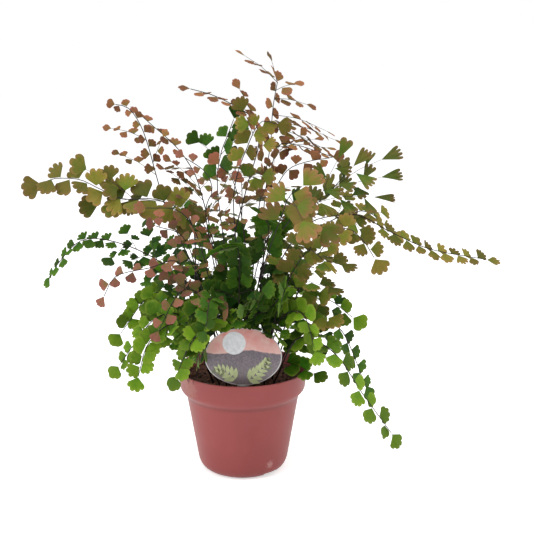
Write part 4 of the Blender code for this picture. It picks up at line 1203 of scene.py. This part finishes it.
age, hue, out, across, under = [kept_value(leaf_skin, "leaf_" + name)
                                for name in ("age", "hue", "out", "across", "under")]
patches = noisy(leaf_skin, given["Vector"], 190.0, 3.0, 0.55)
ageing = maths(leaf_skin, "MULTIPLY_ADD", maths(leaf_skin, "SUBTRACT", patches, 0.5), 1.1, age)
ageing = maths(leaf_skin, "MULTIPLY_ADD", maths(leaf_skin, "SUBTRACT", out, 0.62), 0.45, ageing, True)
blade = mixed(leaf_skin, ageing, given["Young"], given["Aged"])
edge = ramped(leaf_skin, maths(leaf_skin, "MULTIPLY_ADD", patches, 0.25, out), 0.86, 1.16)
edge = maths(leaf_skin, "MULTIPLY", edge, given["Margin amount"])
blade = mixed(leaf_skin, edge, blade, given["Margin"])
fan = add_node(leaf_skin, "ShaderNodeCombineXYZ", {0: maths(leaf_skin, "MULTIPLY", across, 11.0),
                                                   1: maths(leaf_skin, "MULTIPLY", out, 0.9),
                                                   2: maths(leaf_skin, "MULTIPLY", hue, 37.0)}).outputs[0]
veins = noisy(leaf_skin, fan, 1.0, 2.0, 0.5)
light = ramped(leaf_skin, veins, 0.3, 0.7, 0.93, 1.06)
light = maths(leaf_skin, "MULTIPLY", light, ramped(leaf_skin, hue, 0.0, 1.0, 0.60, 1.28))
blade = add_node(leaf_skin, "ShaderNodeVectorMath", {0: blade, 3: light}, operation="SCALE").outputs[0]
pale = mixed(leaf_skin, 0.5, blade, (0.20, 0.22, 0.10, 1))
leaf_skin.links.new(mixed(leaf_skin, maths(leaf_skin, "MULTIPLY", under, 0.35), blade, pale), made["Colour"])
leaf_skin.links.new(ramped(leaf_skin, patches, 0.3, 0.7, 0.45, 0.65), made["Roughness"])
leaf_skin.links.new(veins, made["Height"])

finishes = {}
for tone_name, tone in TONES.items():
    finish, tree, shader, place = new_finish("leaf_" + tone_name, Specular_IOR_Level=0.12)
    leaf = use_effect(tree, leaf_skin, Vector=place, Young=(*tone.young, 1), Aged=(*tone.aged, 1),
                      Margin=(*tone.margin, 1), Margin_amount=0.7)
    paint(tree, shader, leaf["Colour"], leaf["Roughness"])
    bumped(tree, shader, leaf["Height"], 0.25, 0.0004)
    finishes[tone_name] = finish

stalk_finish, tree, shader, place = new_finish("stalk", Specular_IOR_Level=0.3)
slimness = kept_value(tree, "leaf_hue")
bark = mixed(tree, slimness, (0.010, 0.006, 0.007, 1), (0.045, 0.018, 0.012, 1))
bark = mottled(tree, place, 240.0, bark, (0.006, 0.004, 0.005, 1), 0.5)
bark_grain = use_effect(tree, grain, Vector=place, Scale=700.0, Roughness=0.36, Spread=0.15)
paint(tree, shader, bark, bark_grain["Roughness"])
finishes["stalk"] = stalk_finish

for plan in plan_fronds():
    build_frond(*plan, finishes)

# ---- Studio -----------------------------------------------------------------------------------
# A plain pale floor, large soft lamps at both sides and above, and a camera that looks slightly
# down on the pot.
CAMERA_PLACE = (0.022, -0.915, 0.394)
CAMERA_PITCH = math.radians(90 - 12.5)
CAMERA_LENS = 69.9

floor_mesh = bpy.data.meshes.new("floor")
floor_mesh.from_pydata([(-6, -6, 0), (6, -6, 0), (6, 6, 0), (-6, 6, 0)], [], [(0, 1, 2, 3)])
floor = put_in_scene("floor", floor_mesh)
floor_paint, tree, shader, place = new_finish("floor_paint", Roughness=0.9, Specular_IOR_Level=0.1)
shader.inputs["Base Color"].default_value = (0.96, 0.96, 0.96, 1)
shader.inputs["Emission Color"].default_value = (1, 1, 1, 1)
seen = add_node(tree, "ShaderNodeLightPath").outputs["Is Camera Ray"]
tree.links.new(maths(tree, "MULTIPLY", seen, 0.5), shader.inputs["Emission Strength"])
floor_mesh.materials.append(floor_paint)


def add_lamp(name, place, target, size, watts):
    lamp = bpy.data.lights.new(name, "AREA")
    lamp.shape = "RECTANGLE"
    lamp.size, lamp.size_y = size
    lamp.energy = watts
    obj = put_in_scene(name, lamp)
    obj.location = place
    obj.rotation_euler = (Vector(target) - Vector(place)).to_track_quat("-Z", "Y").to_euler()


add_lamp("left_softbox", (-1.5, -0.7, 0.9), (0, 0, 0.15), (1.2, 1.4), 19)
add_lamp("right_softbox", (1.6, -0.3, 0.7), (0, 0, 0.15), (1.0, 1.4), 12)
add_lamp("top_softbox", (0, -0.3, 1.9), (0, 0, 0.1), (1.8, 1.8), 24)

world = bpy.data.worlds.new("studio")
bpy.context.scene.world = world
world.use_nodes = True
tree = world.node_tree
backdrop = tree.nodes["Background"]
backdrop.inputs["Color"].default_value = (1, 1, 1, 1)
seen = add_node(tree, "ShaderNodeLightPath").outputs["Is Camera Ray"]
tree.links.new(ramped(tree, seen, 0.0, 1.0, 0.52, 1.0), backdrop.inputs["Strength"])
bpy.context.scene.view_settings.view_transform = "Standard"

camera = put_in_scene("camera", bpy.data.cameras.new("camera"))
camera.location = CAMERA_PLACE
camera.rotation_euler = (CAMERA_PITCH, 0, 0)
camera.data.lens = CAMERA_LENS
camera.data.sensor_width = 36
camera.data.clip_start = 0.01
bpy.context.scene.camera = camera
